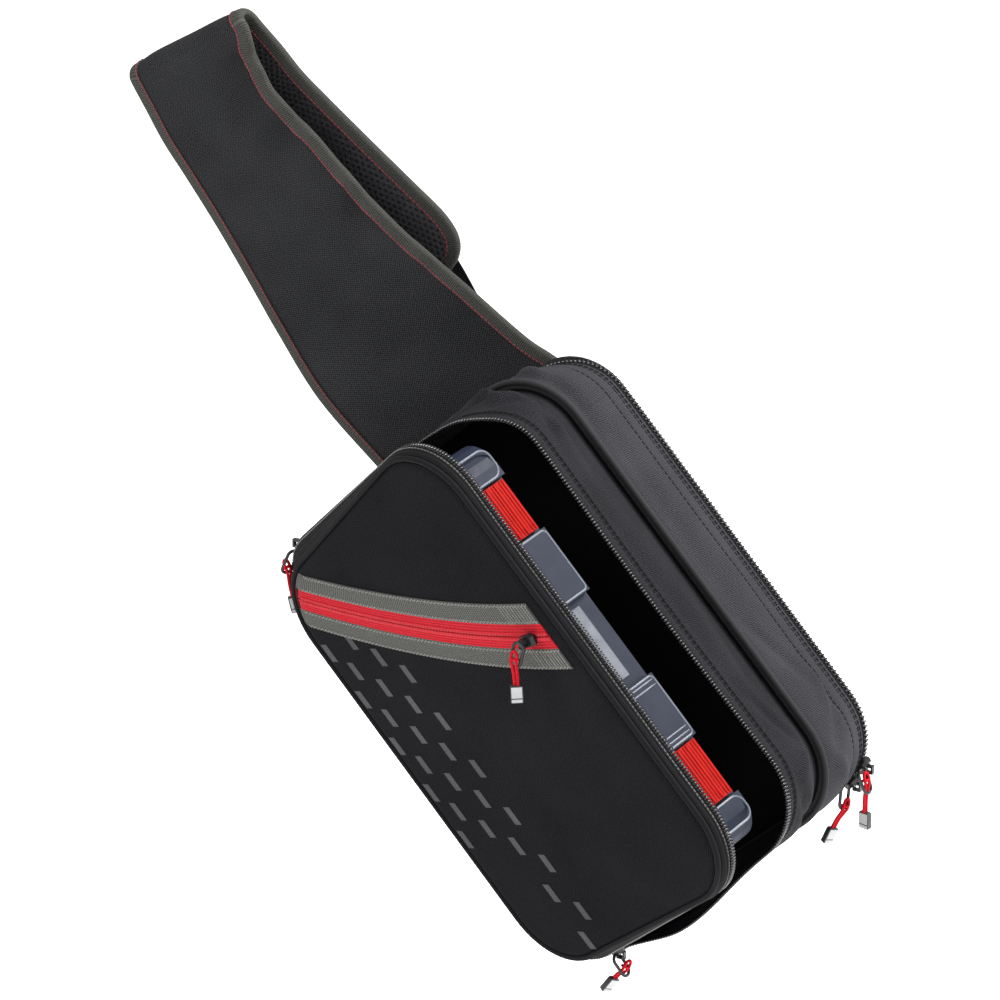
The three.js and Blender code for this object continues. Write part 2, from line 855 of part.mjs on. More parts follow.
// Plain ladder adjuster: a frame that the webbing runs through
function adjuster() {
  const rows = webRows();
  const at = rows[4];
  const next = rows[5];
  const along = new THREE.Vector3(next.x - at.x, next.y - at.y, next.z - at.z).normalize();
  const before = rows[3];
  const back = new THREE.Vector3(at.x - before.x, at.y - before.y, at.z - before.z).normalize();
  const across = webAcross();
  const direction = along.clone().add(back).normalize();
  const normal = direction.clone().cross(across).normalize();
  const slackHalf = webbingThickness / 2 + 4 * gap;
  const frame = (halfWidth, halfThickness, halfLength) => {
    const at3 = (u, v, w) => new THREE.Vector3(at.x, at.y, at.z)
      .addScaledVector(across, u * halfWidth)
      .addScaledVector(normal, v * halfThickness)
      .addScaledVector(direction, w * halfLength);
    return solid(skin([-1, 1].map((w) => [at3(-1, -1, w), at3(1, -1, w), at3(1, 1, w), at3(-1, 1, w)])));
  };
  const outer = frame(webbingWidth / 2 + adjusterFrame, slackHalf + adjusterThickness / 2, adjusterHeight / 2);
  const inner = frame(webbingWidth / 2 + 2 * gap, slackHalf, adjusterHeight);
  return fromSolid(outer.subtract(inner));
}

// Triangular cloth tab sewn on the back panel's lower left corner
function anchorTab() {
  const across = webAcross();
  const down = new THREE.Vector3(-across.z, 0, across.x).negate();
  const middle = new THREE.Vector3(anchorX, 0, anchorZ);
  const at = (u, v, y) => middle.clone()
    .addScaledVector(across, u)
    .addScaledVector(down, v)
    .setY(y);
  const top = webbingWidth / 2 + anchorTabSpread;
  const foot = webbingWidth / 2 - anchorTabTaper;
  const section = (y) => [
    at(-top, -anchorTabLength + webbingOverlap / 2, y),
    at(top, -anchorTabLength + webbingOverlap / 2, y),
    at(foot, webbingOverlap / 4, y),
    at(-foot, webbingOverlap / 4, y),
  ];
  return skin([section(backPanelRear + gap), section(tabFace)]);
}

function strapPieces() {
  const group = new THREE.Group();
  group.add(
    named('strap_pad', strapPad(), cloth(black)),
    named('strap_binding', strapBinding(), cloth(grey)),
    named('strap_webbing', ribbon(webRows(), webbingWidth, webbingThickness), cloth(black)),
    named('strap_adjuster', adjuster(), plastic(black)),
    named('anchor_tab', anchorTab(), cloth(black)),
  );
  return group;
}

// Zipper sliders, each with a pull ring, a looped cord and a tag that hang straight down

const bagGroup = new THREE.Group();
bagGroup.rotation.y = -lean;
const foldInside = new THREE.Vector3(
  strapShift + (side[frontRows.length - 1].left + side[frontRows.length - 1].right) / 2,
  foldY, foldZ + foldRadius - strapThickness / 2);
bagGroup.position.copy(foldInside.clone().applyAxisAngle(new THREE.Vector3(0, 1, 0), -lean).negate());
bagGroup.updateMatrixWorld(true);

const doorGroup = new THREE.Group();
doorGroup.position.x = -bagWidth / 2;
doorGroup.rotation.z = -doorAngle;
bagGroup.add(doorGroup);
bagGroup.updateMatrixWorld(true);

// Middle of one straight step of a rounded corner, with the step's outward direction
function cornerSpot(corner, step, away) {
  const arc = cornerArcs(faceCorners(1), cornerRadius)[cornerNames.indexOf(corner)];
  const angle = arc.start + arc.sweep * (step + 0.5) / cornerSteps;
  const chord = cornerRadius * Math.cos(arc.sweep / cornerSteps / 2);
  const out = new THREE.Vector2(Math.cos(angle), Math.sin(angle));
  return { point: arcPoint(arc, chord + away, angle), out };
}

function slider(name, frame, point, along, out) {
  const turn = new THREE.Matrix3().setFromMatrix4(frame.matrixWorld);
  const place = point.clone().applyMatrix4(frame.matrixWorld);
  const outward = out.clone().applyMatrix3(turn).normalize();
  const run = along.clone().applyMatrix3(turn).normalize();
  const side3 = outward.clone().cross(run);
  const level = new THREE.Vector3(-outward.y, outward.x, 0).normalize();
  const up = new THREE.Vector3(0, 0, 1);
  const forward = up.clone().cross(level);
  const group = new THREE.Group();

  const block = (centre, axes, sizes) => {
    const corner = (a, b, c) => centre.clone()
      .addScaledVector(axes[0], a * sizes[0] / 2)
      .addScaledVector(axes[1], b * sizes[1] / 2)
      .addScaledVector(axes[2], c * sizes[2] / 2);
    return skin([-1, 1].map((c) => [corner(-1, -1, c), corner(1, -1, c), corner(1, 1, c), corner(-1, 1, c)]));
  };
  const taper = (centre) => {
    const corner = (a, b, c, s) => centre.clone()
      .addScaledVector(run, a * s * sliderLength / 2)
      .addScaledVector(side3, b * s * sliderWidth / 2)
      .addScaledVector(outward, c * sliderHeight / 2);
    const loop = (c, s) => [
      corner(-1, -0.6, c, s), corner(0.3, -1, c, s), corner(1, -0.7, c, s),
      corner(1, 0.7, c, s), corner(0.3, 1, c, s), corner(-1, 0.6, c, s),
    ];
    return skin([loop(-1, 0.92), loop(0, 1), loop(1, 0.82)]);
  };
  const bodyCentre = place.clone().addScaledVector(outward, sliderHeight / 2);
  const lugCentre = place.clone().addScaledVector(outward, sliderHeight + lugSize / 2 - lugSunk);
  const axes = [forward, up, level];
  const lugOuter = solid(block(lugCentre, axes, [lugSize, lugSize, lugWidth]));
  const hole = solid(block(lugCentre, axes, [lugHole, lugHole, lugWidth * 3]));
  const plate = solid(taper(bodyCentre));
  const body = plate.add(lugOuter).subtract(hole);

  const wire = pullWire / 2;
  const hangTop = lugCentre.clone().addScaledVector(up, -lugHole / 2 + wire + gap / 2);
  const ringPath = [];
  const corners = [
    [0.32, 0], [0.5, 0.12], [0.5, 0.5], [0.5, 0.88], [0.32, 1],
    [-0.32, 1], [-0.5, 0.88], [-0.5, 0.5], [-0.5, 0.12], [-0.32, 0],
  ];
  for (const [a, b] of corners) {
    ringPath.push(new THREE.Vector2(a * (pullWidth - pullWire), -b * (pullLength - pullWire)));
  }
  const ringLoop = ringPath.map((p, i) => {
    const before = ringPath[(i + ringPath.length - 1) % ringPath.length];
    const after = ringPath[(i + 1) % ringPath.length];
    const tangent = after.clone().sub(before).normalize();
    const outDir = level.clone().multiplyScalar(-tangent.y).addScaledVector(up, tangent.x);
    const centre = hangTop.clone().addScaledVector(level, p.x).addScaledVector(up, p.y);
    return Array.from({ length: wireSides }, (_, k) => {
      const angle = 2 * Math.PI * k / wireSides;
      return centre.clone()
        .addScaledVector(outDir, wire * Math.cos(angle))
        .addScaledVector(forward, wire * Math.sin(angle));
    });
  });

  const cordRadius = cordDiameter / 2;
  const ringBottom = hangTop.clone().addScaledVector(up, -(pullLength - pullWire));
  const loopRadius = wire + gap + cordRadius;
  const cordPath = [new THREE.Vector2(-loopRadius, -cordTail)];
  for (let k = 0; k <= 4; k++) {
    const angle = Math.PI * (1 - k / 4);
    cordPath.push(new THREE.Vector2(loopRadius * Math.cos(angle), loopRadius * Math.sin(angle)));
  }
  cordPath.push(new THREE.Vector2(loopRadius, -cordTail));
  const cordLoop = cordPath.map((p, i) => {
    const before = cordPath[Math.max(i - 1, 0)];
    const after = cordPath[Math.min(i + 1, cordPath.length - 1)];
    const tangent = after.clone().sub(before).normalize();
    const outDir = forward.clone().multiplyScalar(-tangent.y).addScaledVector(up, tangent.x);
    const centre = ringBottom.clone().addScaledVector(forward, p.x).addScaledVector(up, p.y);
    return Array.from({ length: wireSides }, (_, k) => {
      const angle = 2 * Math.PI * k / wireSides;
      return centre.clone()
        .addScaledVector(outDir, cordRadius * Math.cos(angle))
        .addScaledVector(level, cordRadius * Math.sin(angle));
    });
  });
  const tagCentre = ringBottom.clone().addScaledVector(up, -cordTail - gap - tagLength / 2);
  group.add(
    named(`slider_${name}`, fromSolid(body), metal(gunmetal)),
    named(`pull_${name}`, skin(ringLoop, true), metal(gunmetal)),
    named(`pull_cord_${name}`, skin(cordLoop), cloth(red)),
    named(`pull_tag_${name}`, block(tagCentre, axes, [tagDepth, tagLength, tagWidth]), plastic(black)),
  );
  return group;
}

function sliderPieces() {
  const group = new THREE.Group();
  const away = zipProud + gap;
  const atCorner = (name, corner, step, y) => {
    const spot = cornerSpot(corner, step, away);
    const out = new THREE.Vector3(spot.out.x, 0, spot.out.y);
    const along = new THREE.Vector3(-spot.out.y, 0, spot.out.x);
    return slider(name, bagGroup, new THREE.Vector3(spot.point.x, y, spot.point.y), along, out);
  };
  const across = pocketSliderShare * bagWidth;
  const out = new THREE.Vector3(0, -1, 0);
  const step = 0.01;
  const rise = (pocketHeight(pocketSliderShare + step) - pocketHeight(pocketSliderShare - step))
    / (2 * step * bagWidth);
  const pocketSpot = new THREE.Vector3(
    across, panelFace - 3 * gap - pocketLift - pocketCoilLift, pocketHeight(pocketSliderShare));
  group.add(
    atCorner('top', 'upperLeft', 1, zipHalfWidth / 2),
    atCorner('bottom', 'lowerLeft', 4, zipHalfWidth / 2),
    atCorner('rear_a', 'lowerRight', 1, mainDepth + rearDepth),
    atCorner('rear_b', 'lowerRight', 0, mainDepth + rearDepth),
    slider('pocket', doorGroup, pocketSpot, new THREE.Vector3(1, 0, rise).normalize(), out),
  );
  return group;
}

doorGroup.add(doorShell(), pocketPieces(), tacklePieces());
bagGroup.add(bodyPieces(), strapPieces());

const bag = new THREE.Group();
bag.add(bagGroup, sliderPieces());

export default bag;
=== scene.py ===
"""Looks of a fishing tackle sling bag: cloth, zippers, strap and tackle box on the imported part.

Sizes are millimetres in the bag's own frame: x across the bag, y from the front to the wearer's
back, z along the bag's long side. The door has the same frame, turned about its cloth hinge.
placed() turns both into metres in the part's frame.
"""

import math

import bpy
import numpy as np
from mathutils import Matrix, Vector


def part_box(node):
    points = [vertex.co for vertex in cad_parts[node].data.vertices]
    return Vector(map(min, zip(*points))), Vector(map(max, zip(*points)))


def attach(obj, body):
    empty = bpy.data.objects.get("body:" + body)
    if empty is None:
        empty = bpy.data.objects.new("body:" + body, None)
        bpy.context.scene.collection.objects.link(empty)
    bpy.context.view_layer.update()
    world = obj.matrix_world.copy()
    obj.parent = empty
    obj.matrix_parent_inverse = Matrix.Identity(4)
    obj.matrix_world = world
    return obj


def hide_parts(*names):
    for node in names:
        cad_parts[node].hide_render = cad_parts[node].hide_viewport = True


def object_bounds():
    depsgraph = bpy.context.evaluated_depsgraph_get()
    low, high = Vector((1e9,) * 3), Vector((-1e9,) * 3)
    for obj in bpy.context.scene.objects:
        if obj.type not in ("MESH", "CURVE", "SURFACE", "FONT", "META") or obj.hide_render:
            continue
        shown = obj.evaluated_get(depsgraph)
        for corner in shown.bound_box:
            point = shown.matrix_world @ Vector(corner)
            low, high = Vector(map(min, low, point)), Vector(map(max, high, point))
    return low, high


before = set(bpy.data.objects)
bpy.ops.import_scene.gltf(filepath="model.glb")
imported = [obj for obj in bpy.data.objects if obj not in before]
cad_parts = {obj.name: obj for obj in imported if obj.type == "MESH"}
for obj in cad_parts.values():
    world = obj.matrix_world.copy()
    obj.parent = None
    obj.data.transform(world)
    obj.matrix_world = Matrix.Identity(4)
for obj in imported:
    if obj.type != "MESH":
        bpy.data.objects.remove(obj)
cad_bounds = [list(corner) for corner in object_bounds()]

MM = 0.001
LEAN = math.radians(43.4)
DOOR_ANGLE = math.radians(16.4)

# Body and door, as the part has them
LENGTH = 318
WIDTH = 214
CORNER = 43
MAIN_DEPTH = 47
REAR_DEPTH = 57
BODY_SLOPES = (2, 4)
DOOR_SLOPES = (16, 11)
WALL = 2
GAP = 0.3
DIVIDER = 2.4
DOOR_DEPTH = 14
DOOR_PANEL = 5
DOOR_WELT = 1.8
BODY_WELT = 2
ZIP_HALF = 3
REAR_ZIP_START = MAIN_DEPTH + REAR_DEPTH - 3
REAR_ZIP_WIDTH = 6
BACK_FRONT = REAR_ZIP_START + REAR_ZIP_WIDTH + GAP
BACK_REAR = BACK_FRONT + 6

# Pocket zipper on the door
POCKET_LEFT = 142.8
POCKET_RIGHT = 14.7
POCKET_SAG = 10.35
POCKET_GREY = 12.5
POCKET_RED = 14.5
POCKET_END = WIDTH - 10

# Strap
STRAP_BASE = 156
STRAP_TOP = 94
STRAP_RISE = 298
STRAP_DROP = 214
STRAP_SHIFT = -4
STRAP_THICK = 7
FOLD_RADIUS = 9
FOLD_MIDDLE = -0.045 * STRAP_BASE
STRAP_LEAN_IN = 5
STRAP_SPREAD = 24
STRAP_LEFT_TOP = -50
FOLD_TILT = 0.225
FOLD_TILT_REACH = 100
FOLD_TILT_FLAT = 14
RIPPLE_OUT = 1.2
RIPPLE_LIFT = 1.3
RIPPLE_REACH = 16
PAD_EDGE = 1.5
PAD_CROWN = 0.1
BINDING_OUT = 2.9
BINDING_IN = 5.5
WEB_WIDTH = 50
WEB_THICK = 1.8
WEB_OVERLAP = 36
WEB_BOW = 7
WEB_SIDEWAYS = 6
TAB_THICK = 2.4
TAB_RISE = 70
ANCHOR_SEWN = 16

# Tackle box
BOX_RIGHT = WIDTH / 2 - 20
BOX_BOTTOM = -LENGTH / 2 + BODY_SLOPES[1] + 12
BOX_TOP = LENGTH / 2 - 20
BOX_LENGTH = BOX_TOP - BOX_BOTTOM
BOX_FRONT = -DOOR_DEPTH + DOOR_PANEL + GAP
BOX_BACK = BOX_FRONT + 45
BOX_NOTCH = 5

STRAP_Y = (BACK_FRONT + BACK_REAR) / 2
FOLD_Y = STRAP_Y - STRAP_LEAN_IN + FOLD_RADIUS
STRAP_FOOT = LENGTH / 2 + GAP
FOLD_Z = STRAP_FOOT + STRAP_RISE
FOLD_INSIDE = Vector((
    STRAP_SHIFT + FOLD_MIDDLE, FOLD_Y, FOLD_Z + FOLD_RADIUS - STRAP_THICK / 2,
))

TURN = Matrix.Rotation(-LEAN, 4, "Y")
BAG = Matrix.Translation(-(TURN @ FOLD_INSIDE)) @ TURN
DOOR = (
    BAG
    @ Matrix.Translation((-WIDTH / 2, 0, 0))
    @ Matrix.Rotation(-DOOR_ANGLE, 4, "Z")
    @ Matrix.Translation((WIDTH / 2, 0, 0))
)


def placed(points, place):
    """Points in millimetres in a frame, as metres in the part's frame."""
    m = np.array(place)
    flat = np.asarray(points, float).reshape(-1, 3)
    return (flat @ m[:3, :3].T + m[:3, 3]) * MM


def unit(vectors):
    """Vectors of length 1."""
    return vectors / np.maximum(np.linalg.norm(vectors, axis=-1, keepdims=True), 1e-9)


# Materials


class Look:
    """A material with a principled surface and short calls that add its nodes."""

    def __init__(self, name, **sockets):
        self.material = bpy.data.materials.new(name)
        self.material.use_nodes = True
        self.nodes = self.material.node_tree.nodes
        self.links = self.material.node_tree.links
        self.surface = self.nodes["Principled BSDF"]
        for socket, value in sockets.items():
            if isinstance(value, tuple):
                value = (*value, 1.0)
            self.surface.inputs[socket.replace("_", " ")].default_value = value

    def node(self, kind, inputs=None, **settings):
        made = self.nodes.new(kind)
        for key, value in settings.items():
            setattr(made, key, value)
        for key, value in (inputs or {}).items():
            if isinstance(value, bpy.types.NodeSocket):
                self.links.new(value, made.inputs[key])
            else:
                made.inputs[key].default_value = value
        return made

    def uv(self):
        return self.node("ShaderNodeUVMap", uv_map="cloth").outputs["UV"]

    def place(self):
        return self.node("ShaderNodeTexCoord").outputs["Object"]

    def split(self, vector):
        made = self.node("ShaderNodeSeparateXYZ", {"Vector": vector})
        return made.outputs["X"], made.outputs["Y"], made.outputs["Z"]

    def math(self, operation, a, b=0.0):
        return self.node("ShaderNodeMath", {0: a, 1: b}, operation=operation).outputs[0]

    def add(self, a, b):
        return self.math("ADD", a, b)

    def times(self, a, b):
        return self.math("MULTIPLY", a, b)

    def noise(self, vector, size, detail=2.0):
        """Noise whose grains are about size millimetres across."""
        inputs = {"Vector": vector, "Scale": 1000 / size, "Detail": detail}
        return self.node("ShaderNodeTexNoise", inputs).outputs["Fac"]

    def ripple(self, value, pitch):
        """A sine of a length in metres, from -1 to 1, with its pitch in millimetres."""
        return self.math("SINE", self.times(value, 2000 * math.pi / pitch))

    def mix(self, factor, a, b):
        made = self.node("ShaderNodeMix", {"Factor": factor}, data_type="RGBA")
        for socket, colour in (("A", a), ("B", b)):
            target = [s for s in made.inputs if s.name == socket and s.type == "RGBA"][0]
            if isinstance(colour, bpy.types.NodeSocket):
                self.links.new(colour, target)
            else:
                target.default_value = (*colour, 1.0)
        return [s for s in made.outputs if s.type == "RGBA"][0]

    def span(self, value, low, high):
        inputs = {"Value": value, "To Min": low, "To Max": high}
        return self.node("ShaderNodeMapRange", inputs).outputs["Result"]

    def feed(self, socket, value):
        self.links.new(value, self.surface.inputs[socket])

    def bump(self, height, strength, depth):
        """Bump of a height from 0 to 1, with its depth in millimetres."""
        inputs = {"Height": height, "Strength": strength, "Distance": depth * MM}
        return self.node("ShaderNodeBump", inputs).outputs["Normal"]


def woven(name, dark, light, pitch=1.2, relief=0.35, speck=0.5, twill=False, **sockets):
    """Woven cloth: crossing yarns, specks of light yarn and a slow change in shade."""
    look = Look(name, **{"Specular_IOR_Level": 0.06, **sockets})
    uv = look.uv()
    across, along, _ = look.split(uv)
    across = look.add(across, look.times(look.noise(uv, 3.5), 0.0009))
    if twill:
        diagonal = look.add(across, along)
        weave = look.add(look.ripple(diagonal, pitch), look.ripple(across, pitch * 0.7))
        weave = look.times(weave, 0.5)
    else:
        weave = look.times(look.ripple(across, pitch), look.ripple(along, pitch))
    grain = look.noise(uv, 0.7, 0.0)
    cloud = look.noise(uv, 60)
    shade = look.times(look.math("SUBTRACT", grain, 0.5), 3.2 * speck)
    shade = look.add(look.add(shade, look.times(weave, 0.6)), cloud)
    look.feed("Base Color", look.mix(shade, dark, light))
    look.feed("Roughness", look.span(cloud, 0.75, 0.93))
    height = look.add(look.times(weave, 0.5), look.times(grain, 0.1))
    look.feed("Normal", look.bump(height, relief, 0.4))
    return look.material


def ribbed(name, dark, light, pitch, relief, along=False, **sockets):
    """Grosgrain or webbing: ribs across the band, or along it, with fine yarn between."""
    look = Look(name, **{"Roughness": 0.75, "Specular_IOR_Level": 0.1, **sockets})
    uv = look.uv()
    u, v, _ = look.split(uv)
    u, v = (v, u) if along else (u, v)
    rib = look.ripple(u, pitch)
    yarn = look.times(look.ripple(v, pitch * 0.8), 0.35)
    grain = look.noise(uv, 1.0)
    shade = look.add(look.times(look.add(rib, yarn), 0.28), grain)
    look.feed("Base Color", look.mix(shade, dark, light))
    height = look.add(look.times(rib, 0.5), look.times(grain, 0.5))
    look.feed("Normal", look.bump(height, relief, 0.5))
    return look.material


def moulded(name, dark, light, roughness, grain=6.0, relief=0.06, **sockets):
    """Plastic or plated metal with faint marks and a rubbed, uneven gloss."""
    look = Look(name, **sockets)
    spot = look.place()
    cloud = look.noise(spot, grain, 4.0)
    look.feed("Base Color", look.mix(cloud, dark, light))
    look.feed("Roughness", look.span(cloud, roughness * 0.75, roughness * 1.25))
    look.feed("Normal", look.bump(look.noise(spot, 0.6), relief, 0.1))
    return look.material


def thread(name, dark, light):
    """Sewing thread, a little uneven in shade."""
    look = Look(name, Roughness=0.6, Specular_IOR_Level=0.15)
    look.feed("Base Color", look.mix(look.noise(look.place(), 0.9), dark, light))
    return look.material


def frosted(name, dark, light, roughness, **sockets):
    """Cloudy clear plastic, its shade and gloss varying in soft clouds. With pale shades it serves
    as a painted highlight.
    """
    look = Look(name, IOR=1.46, **sockets)
    spot = look.place()
    cloud = look.noise(spot, 30, 3.0)
    look.feed("Base Color", look.mix(cloud, dark, light))
    look.feed("Roughness", look.span(look.noise(spot, 9, 3.0), roughness * 0.7, roughness * 1.3))
    look.feed("Normal", look.bump(look.noise(spot, 14, 2.0), 0.2, 0.3))
    return look.material


DOOR_CLOTH = woven("door_cloth", (0.0008, 0.0008, 0.001), (0.0125, 0.0125, 0.0148), pitch=1.7)
STRAP_CLOTH = woven("strap_cloth", (0.006, 0.0062, 0.0066), (0.036, 0.0365, 0.039), pitch=1.7)
GUSSET_CLOTH = woven(
    "gusset_cloth", (0.005, 0.005, 0.0064), (0.044, 0.044, 0.051), pitch=1.7, twill=True,
    Specular_IOR_Level=0.2,
)
# The front gusset's cloth is the gusset's cloth made darker: painted shade where its sagging wall
# turns away from the light.
FRONT_CLOTH_PAINTED_SHADE = woven(
    "front_cloth_painted_shade", (0.002, 0.002, 0.0026), (0.027, 0.027, 0.0315), pitch=1.7, twill=True,
    Specular_IOR_Level=0.12,
)
LINING_CLOTH = woven(
    "lining_cloth", (0.0015, 0.0015, 0.0018), (0.005, 0.005, 0.0056), pitch=0.9, speck=0.2
)
MESH_CLOTH = woven("mesh_cloth", (0.008, 0.008, 0.009), (0.066, 0.066, 0.072), pitch=0.9, speck=0.5)
WELT_CLOTH = woven(
    "welt_cloth", (0.002, 0.002, 0.0024), (0.0095, 0.0095, 0.011), pitch=0.8, relief=0.2,
    Specular_IOR_Level=0.15,
)
ROPE_CLOTH = woven(
    "rope_cloth", (0.004, 0.004, 0.005), (0.014, 0.014, 0.016), pitch=0.8, relief=0.1, speck=0.2,
    Specular_IOR_Level=0.45,
)
TAPE_CLOTH = ribbed("tape_cloth", (0.002, 0.002, 0.0024), (0.014, 0.014, 0.016), 0.9, 0.3)
BINDING_CLOTH = ribbed("binding_cloth", (0.014, 0.0142, 0.0125), (0.085, 0.086, 0.078), 1.3, 0.7)
BAND_CLOTH = ribbed("band_cloth", (0.016, 0.0165, 0.0145), (0.16, 0.162, 0.148), 1.7, 0.9)
RED_CLOTH = ribbed("red_cloth", (0.22, 0.005, 0.01), (0.66, 0.022, 0.036), 1.8, 0.8, along=True)
WEB_CLOTH = ribbed("web_cloth", (0.004, 0.004, 0.0045), (0.018, 0.018, 0.02), 2.2, 0.6, along=True)
CORD_CLOTH = ribbed("cord_cloth", (0.3, 0.003, 0.008), (0.65, 0.012, 0.024), 1.1, 0.5)
PRINT_INK = woven("print_ink", (0.035, 0.035, 0.037), (0.1, 0.1, 0.106), pitch=1.3, relief=0.25)
DARK_THREAD = thread("dark_thread", (0.002, 0.002, 0.002), (0.007, 0.007, 0.008))
PALE_THREAD = thread("pale_thread", (0.12, 0.12, 0.11), (0.33, 0.33, 0.31))
GREY_THREAD = thread("grey_thread", (0.06, 0.06, 0.056), (0.18, 0.18, 0.17))
RED_THREAD = thread("red_thread", (0.1, 0.014, 0.02), (0.36, 0.06, 0.075))
ZIP_BLACK = moulded(
    "zip_black", (0.003, 0.003, 0.0035), (0.012, 0.012, 0.0135), 0.22, Specular_IOR_Level=0.5
)
ZIP_RED = moulded("zip_red", (0.4, 0.005, 0.012), (0.72, 0.015, 0.03), 0.35)
GUNMETAL = moulded(
    "gunmetal", (0.006, 0.006, 0.007), (0.022, 0.022, 0.024), 0.3, Metallic=0.3,
    Specular_IOR_Level=0.5
)
TAG_BLACK = moulded("tag_black", (0.012, 0.012, 0.013), (0.03, 0.03, 0.032), 0.42)
TAG_PALE = moulded("tag_pale", (0.34, 0.35, 0.355), (0.56, 0.57, 0.575), 0.5)
BUCKLE = moulded("buckle", (0.012, 0.012, 0.013), (0.028, 0.028, 0.03), 0.4)
LATCH_RED = moulded(
    "latch_red", (0.29, 0.004, 0.002), (0.44, 0.008, 0.004), 0.5,
    Specular_IOR_Level=0.12
)
CLEAR = frosted(
    "clear_plastic", (0.004, 0.007, 0.02), (0.022, 0.031, 0.055), 0.48, Transmission_Weight=0.2,
    Specular_IOR_Level=0.15
)
CLEAR_HAZE = frosted(
    "clear_haze", (0.03, 0.038, 0.055), (0.12, 0.135, 0.165), 0.6, Transmission_Weight=0.2,
    Specular_IOR_Level=0.1
)
# Pale clear plastic: painted highlights on the box's rounded edges, its ridges and the recess lip.
CLEAR_PAINTED_HIGHLIGHT = frosted(
    "clear_painted_highlight", (0.1, 0.12, 0.16), (0.3, 0.33, 0.38), 0.34, Transmission_Weight=0.3
)


# Meshes


def linked(name, data):
    """A new object for data, in the scene."""
    made = bpy.data.objects.new(name, data)
    bpy.context.scene.collection.objects.link(made)
    return made


def add_mesh(name, verts, faces, material, slot, stands_for=(), uvs=None, sharp=40):
    """A smooth mesh that rides on the root, with edges above an angle kept sharp."""
    mesh = bpy.data.meshes.new(name)
    mesh.from_pydata(np.asarray(verts).tolist(), [], faces)
    if uvs is not None:
        layer = mesh.uv_layers.new(name="cloth")
        layer.data.foreach_set("uv", np.asarray(uvs, np.float32).ravel())
    mesh.shade_smooth()
    mesh.set_sharp_from_angle(angle=math.radians(sharp))
    mesh.materials.append(material)
    made = linked(name, mesh)
    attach(made, "root")
    if stands_for:
        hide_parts(*stands_for)
    return made


def grid_faces(rows, cols, wrap_rows, wrap_cols):
    """Quads of a grid, and each corner's row and column with wrapped ones counted on."""
    r, c = np.meshgrid(
        np.arange(rows if wrap_rows else rows - 1), np.arange(cols if wrap_cols else cols - 1),
        indexing="ij",
    )
    r, c = r.ravel(), c.ravel()
    corner_rows = np.stack([r, r, r + 1, r + 1], 1)
    corner_cols = np.stack([c, c + 1, c + 1, c], 1)
    faces = (corner_rows % rows) * cols + corner_cols % cols
    return faces, corner_rows, corner_cols


def ring_stack(rows, cols, flip=False):
    """Faces of closed rings joined in a stack, with both end rings filled."""
    faces = grid_faces(rows, cols, False, True)[0].tolist()
    ends = [list(range(cols)), list(range((rows - 1) * cols, rows * cols))]
    ends[flip] = ends[flip][::-1]
    return faces + ends


BOX_QUADS = [[0, 1, 2, 3], [7, 6, 5, 4], [0, 4, 5, 1], [1, 5, 6, 2], [2, 6, 7, 3], [3, 7, 4, 0]]


def box_faces(count):
    """Faces of some boxes, each with four corners and then four over them."""
    return [[8 * box + i for i in quad] for box in range(count) for quad in BOX_QUADS]


def flat_uvs(points, faces):
    """Cloth coordinates in metres from x and z."""
    flat = np.asarray(points, float).reshape(-1, 3)[:, [0, 2]] * MM
    return flat[[i for face in faces for i in face]]


def running(points, wrap):
    """Distance along a line of points, with the way back to the first if it wraps."""
    ends = np.vstack([points, points[:1]]) if wrap else points
    steps = np.linalg.norm(np.diff(ends, axis=0), axis=1)
    return np.concatenate([[0], np.cumsum(steps)])


def add_grid(name, points, material, slot, place=BAG, wrap_rows=False, wrap_cols=False,
             capped=False, **extra):
    """A skin over points[row][column], with cloth coordinates in metres along and across it."""
    points = np.asarray(points, float)
    rows, cols = points.shape[:2]
    faces, at_row, at_col = grid_faces(rows, cols, wrap_rows, wrap_cols)
    u = running(points[rows // 2], wrap_cols) * MM
    v = running(points[:, cols // 2], wrap_rows) * MM
    uvs = np.stack([u[at_col], v[at_row]], -1).reshape(-1, 2)
    faces = faces.tolist()
    if capped:
        first = [r * cols for r in range(rows)]
        last = [r * cols + cols - 1 for r in range(rows)]
        faces += [first, last[::-1]]
        uvs = np.vstack([uvs, np.zeros((2 * rows, 2))])
    return add_mesh(name, placed(points, place), faces, material, slot, uvs=uvs, **extra)


def add_bits(name, shape, centres, along, up, sizes, material, slot, place=BAG, **extra):
    """Copies of a small shape. Its x lies along, its z points up, scaled by sizes."""
    verts, faces = shape
    centres, along, up, sizes = (
        np.broadcast_to(np.asarray(values, float), (len(centres), 3))
        for values in (centres, along, up, sizes)
    )
    along = unit(along)
    up = unit(up - along * np.sum(up * along, axis=1, keepdims=True))
    side = np.cross(up, along)
    made = (
        centres[:, None, :]
        + verts[None, :, 0:1] * along[:, None, :] * sizes[:, None, 0:1]
        + verts[None, :, 1:2] * side[:, None, :] * sizes[:, None, 1:2]
        + verts[None, :, 2:3] * up[:, None, :] * sizes[:, None, 2:3]
    )
    count = len(verts)
    all_faces = [[i * count + k for k in face] for i in range(len(centres)) for face in faces]
    return add_mesh(name, placed(made, place), all_faces, material, slot, sharp=60, **extra)


def grain_shape(sides):
    """A grain of unit length and thickness, with blunt ends."""
    rings = [(-0.5, 0.22), (-0.38, 0.46), (0.38, 0.46), (0.5, 0.22)]
    verts = [
        (x, r * math.cos(2 * math.pi * k / sides), r * math.sin(2 * math.pi * k / sides))
        for x, r in rings for k in range(sides)
    ]
    faces = []
    for ring in range(len(rings) - 1):
        for k in range(sides):
            a, b = ring * sides + k, ring * sides + (k + 1) % sides
            faces.append([a, b, b + sides, a + sides])
    faces.append(list(range(sides))[::-1])
    faces.append(list(range((len(rings) - 1) * sides, len(rings) * sides)))
    return np.array(verts), faces


GRAIN = grain_shape(6)
STITCH = grain_shape(4)


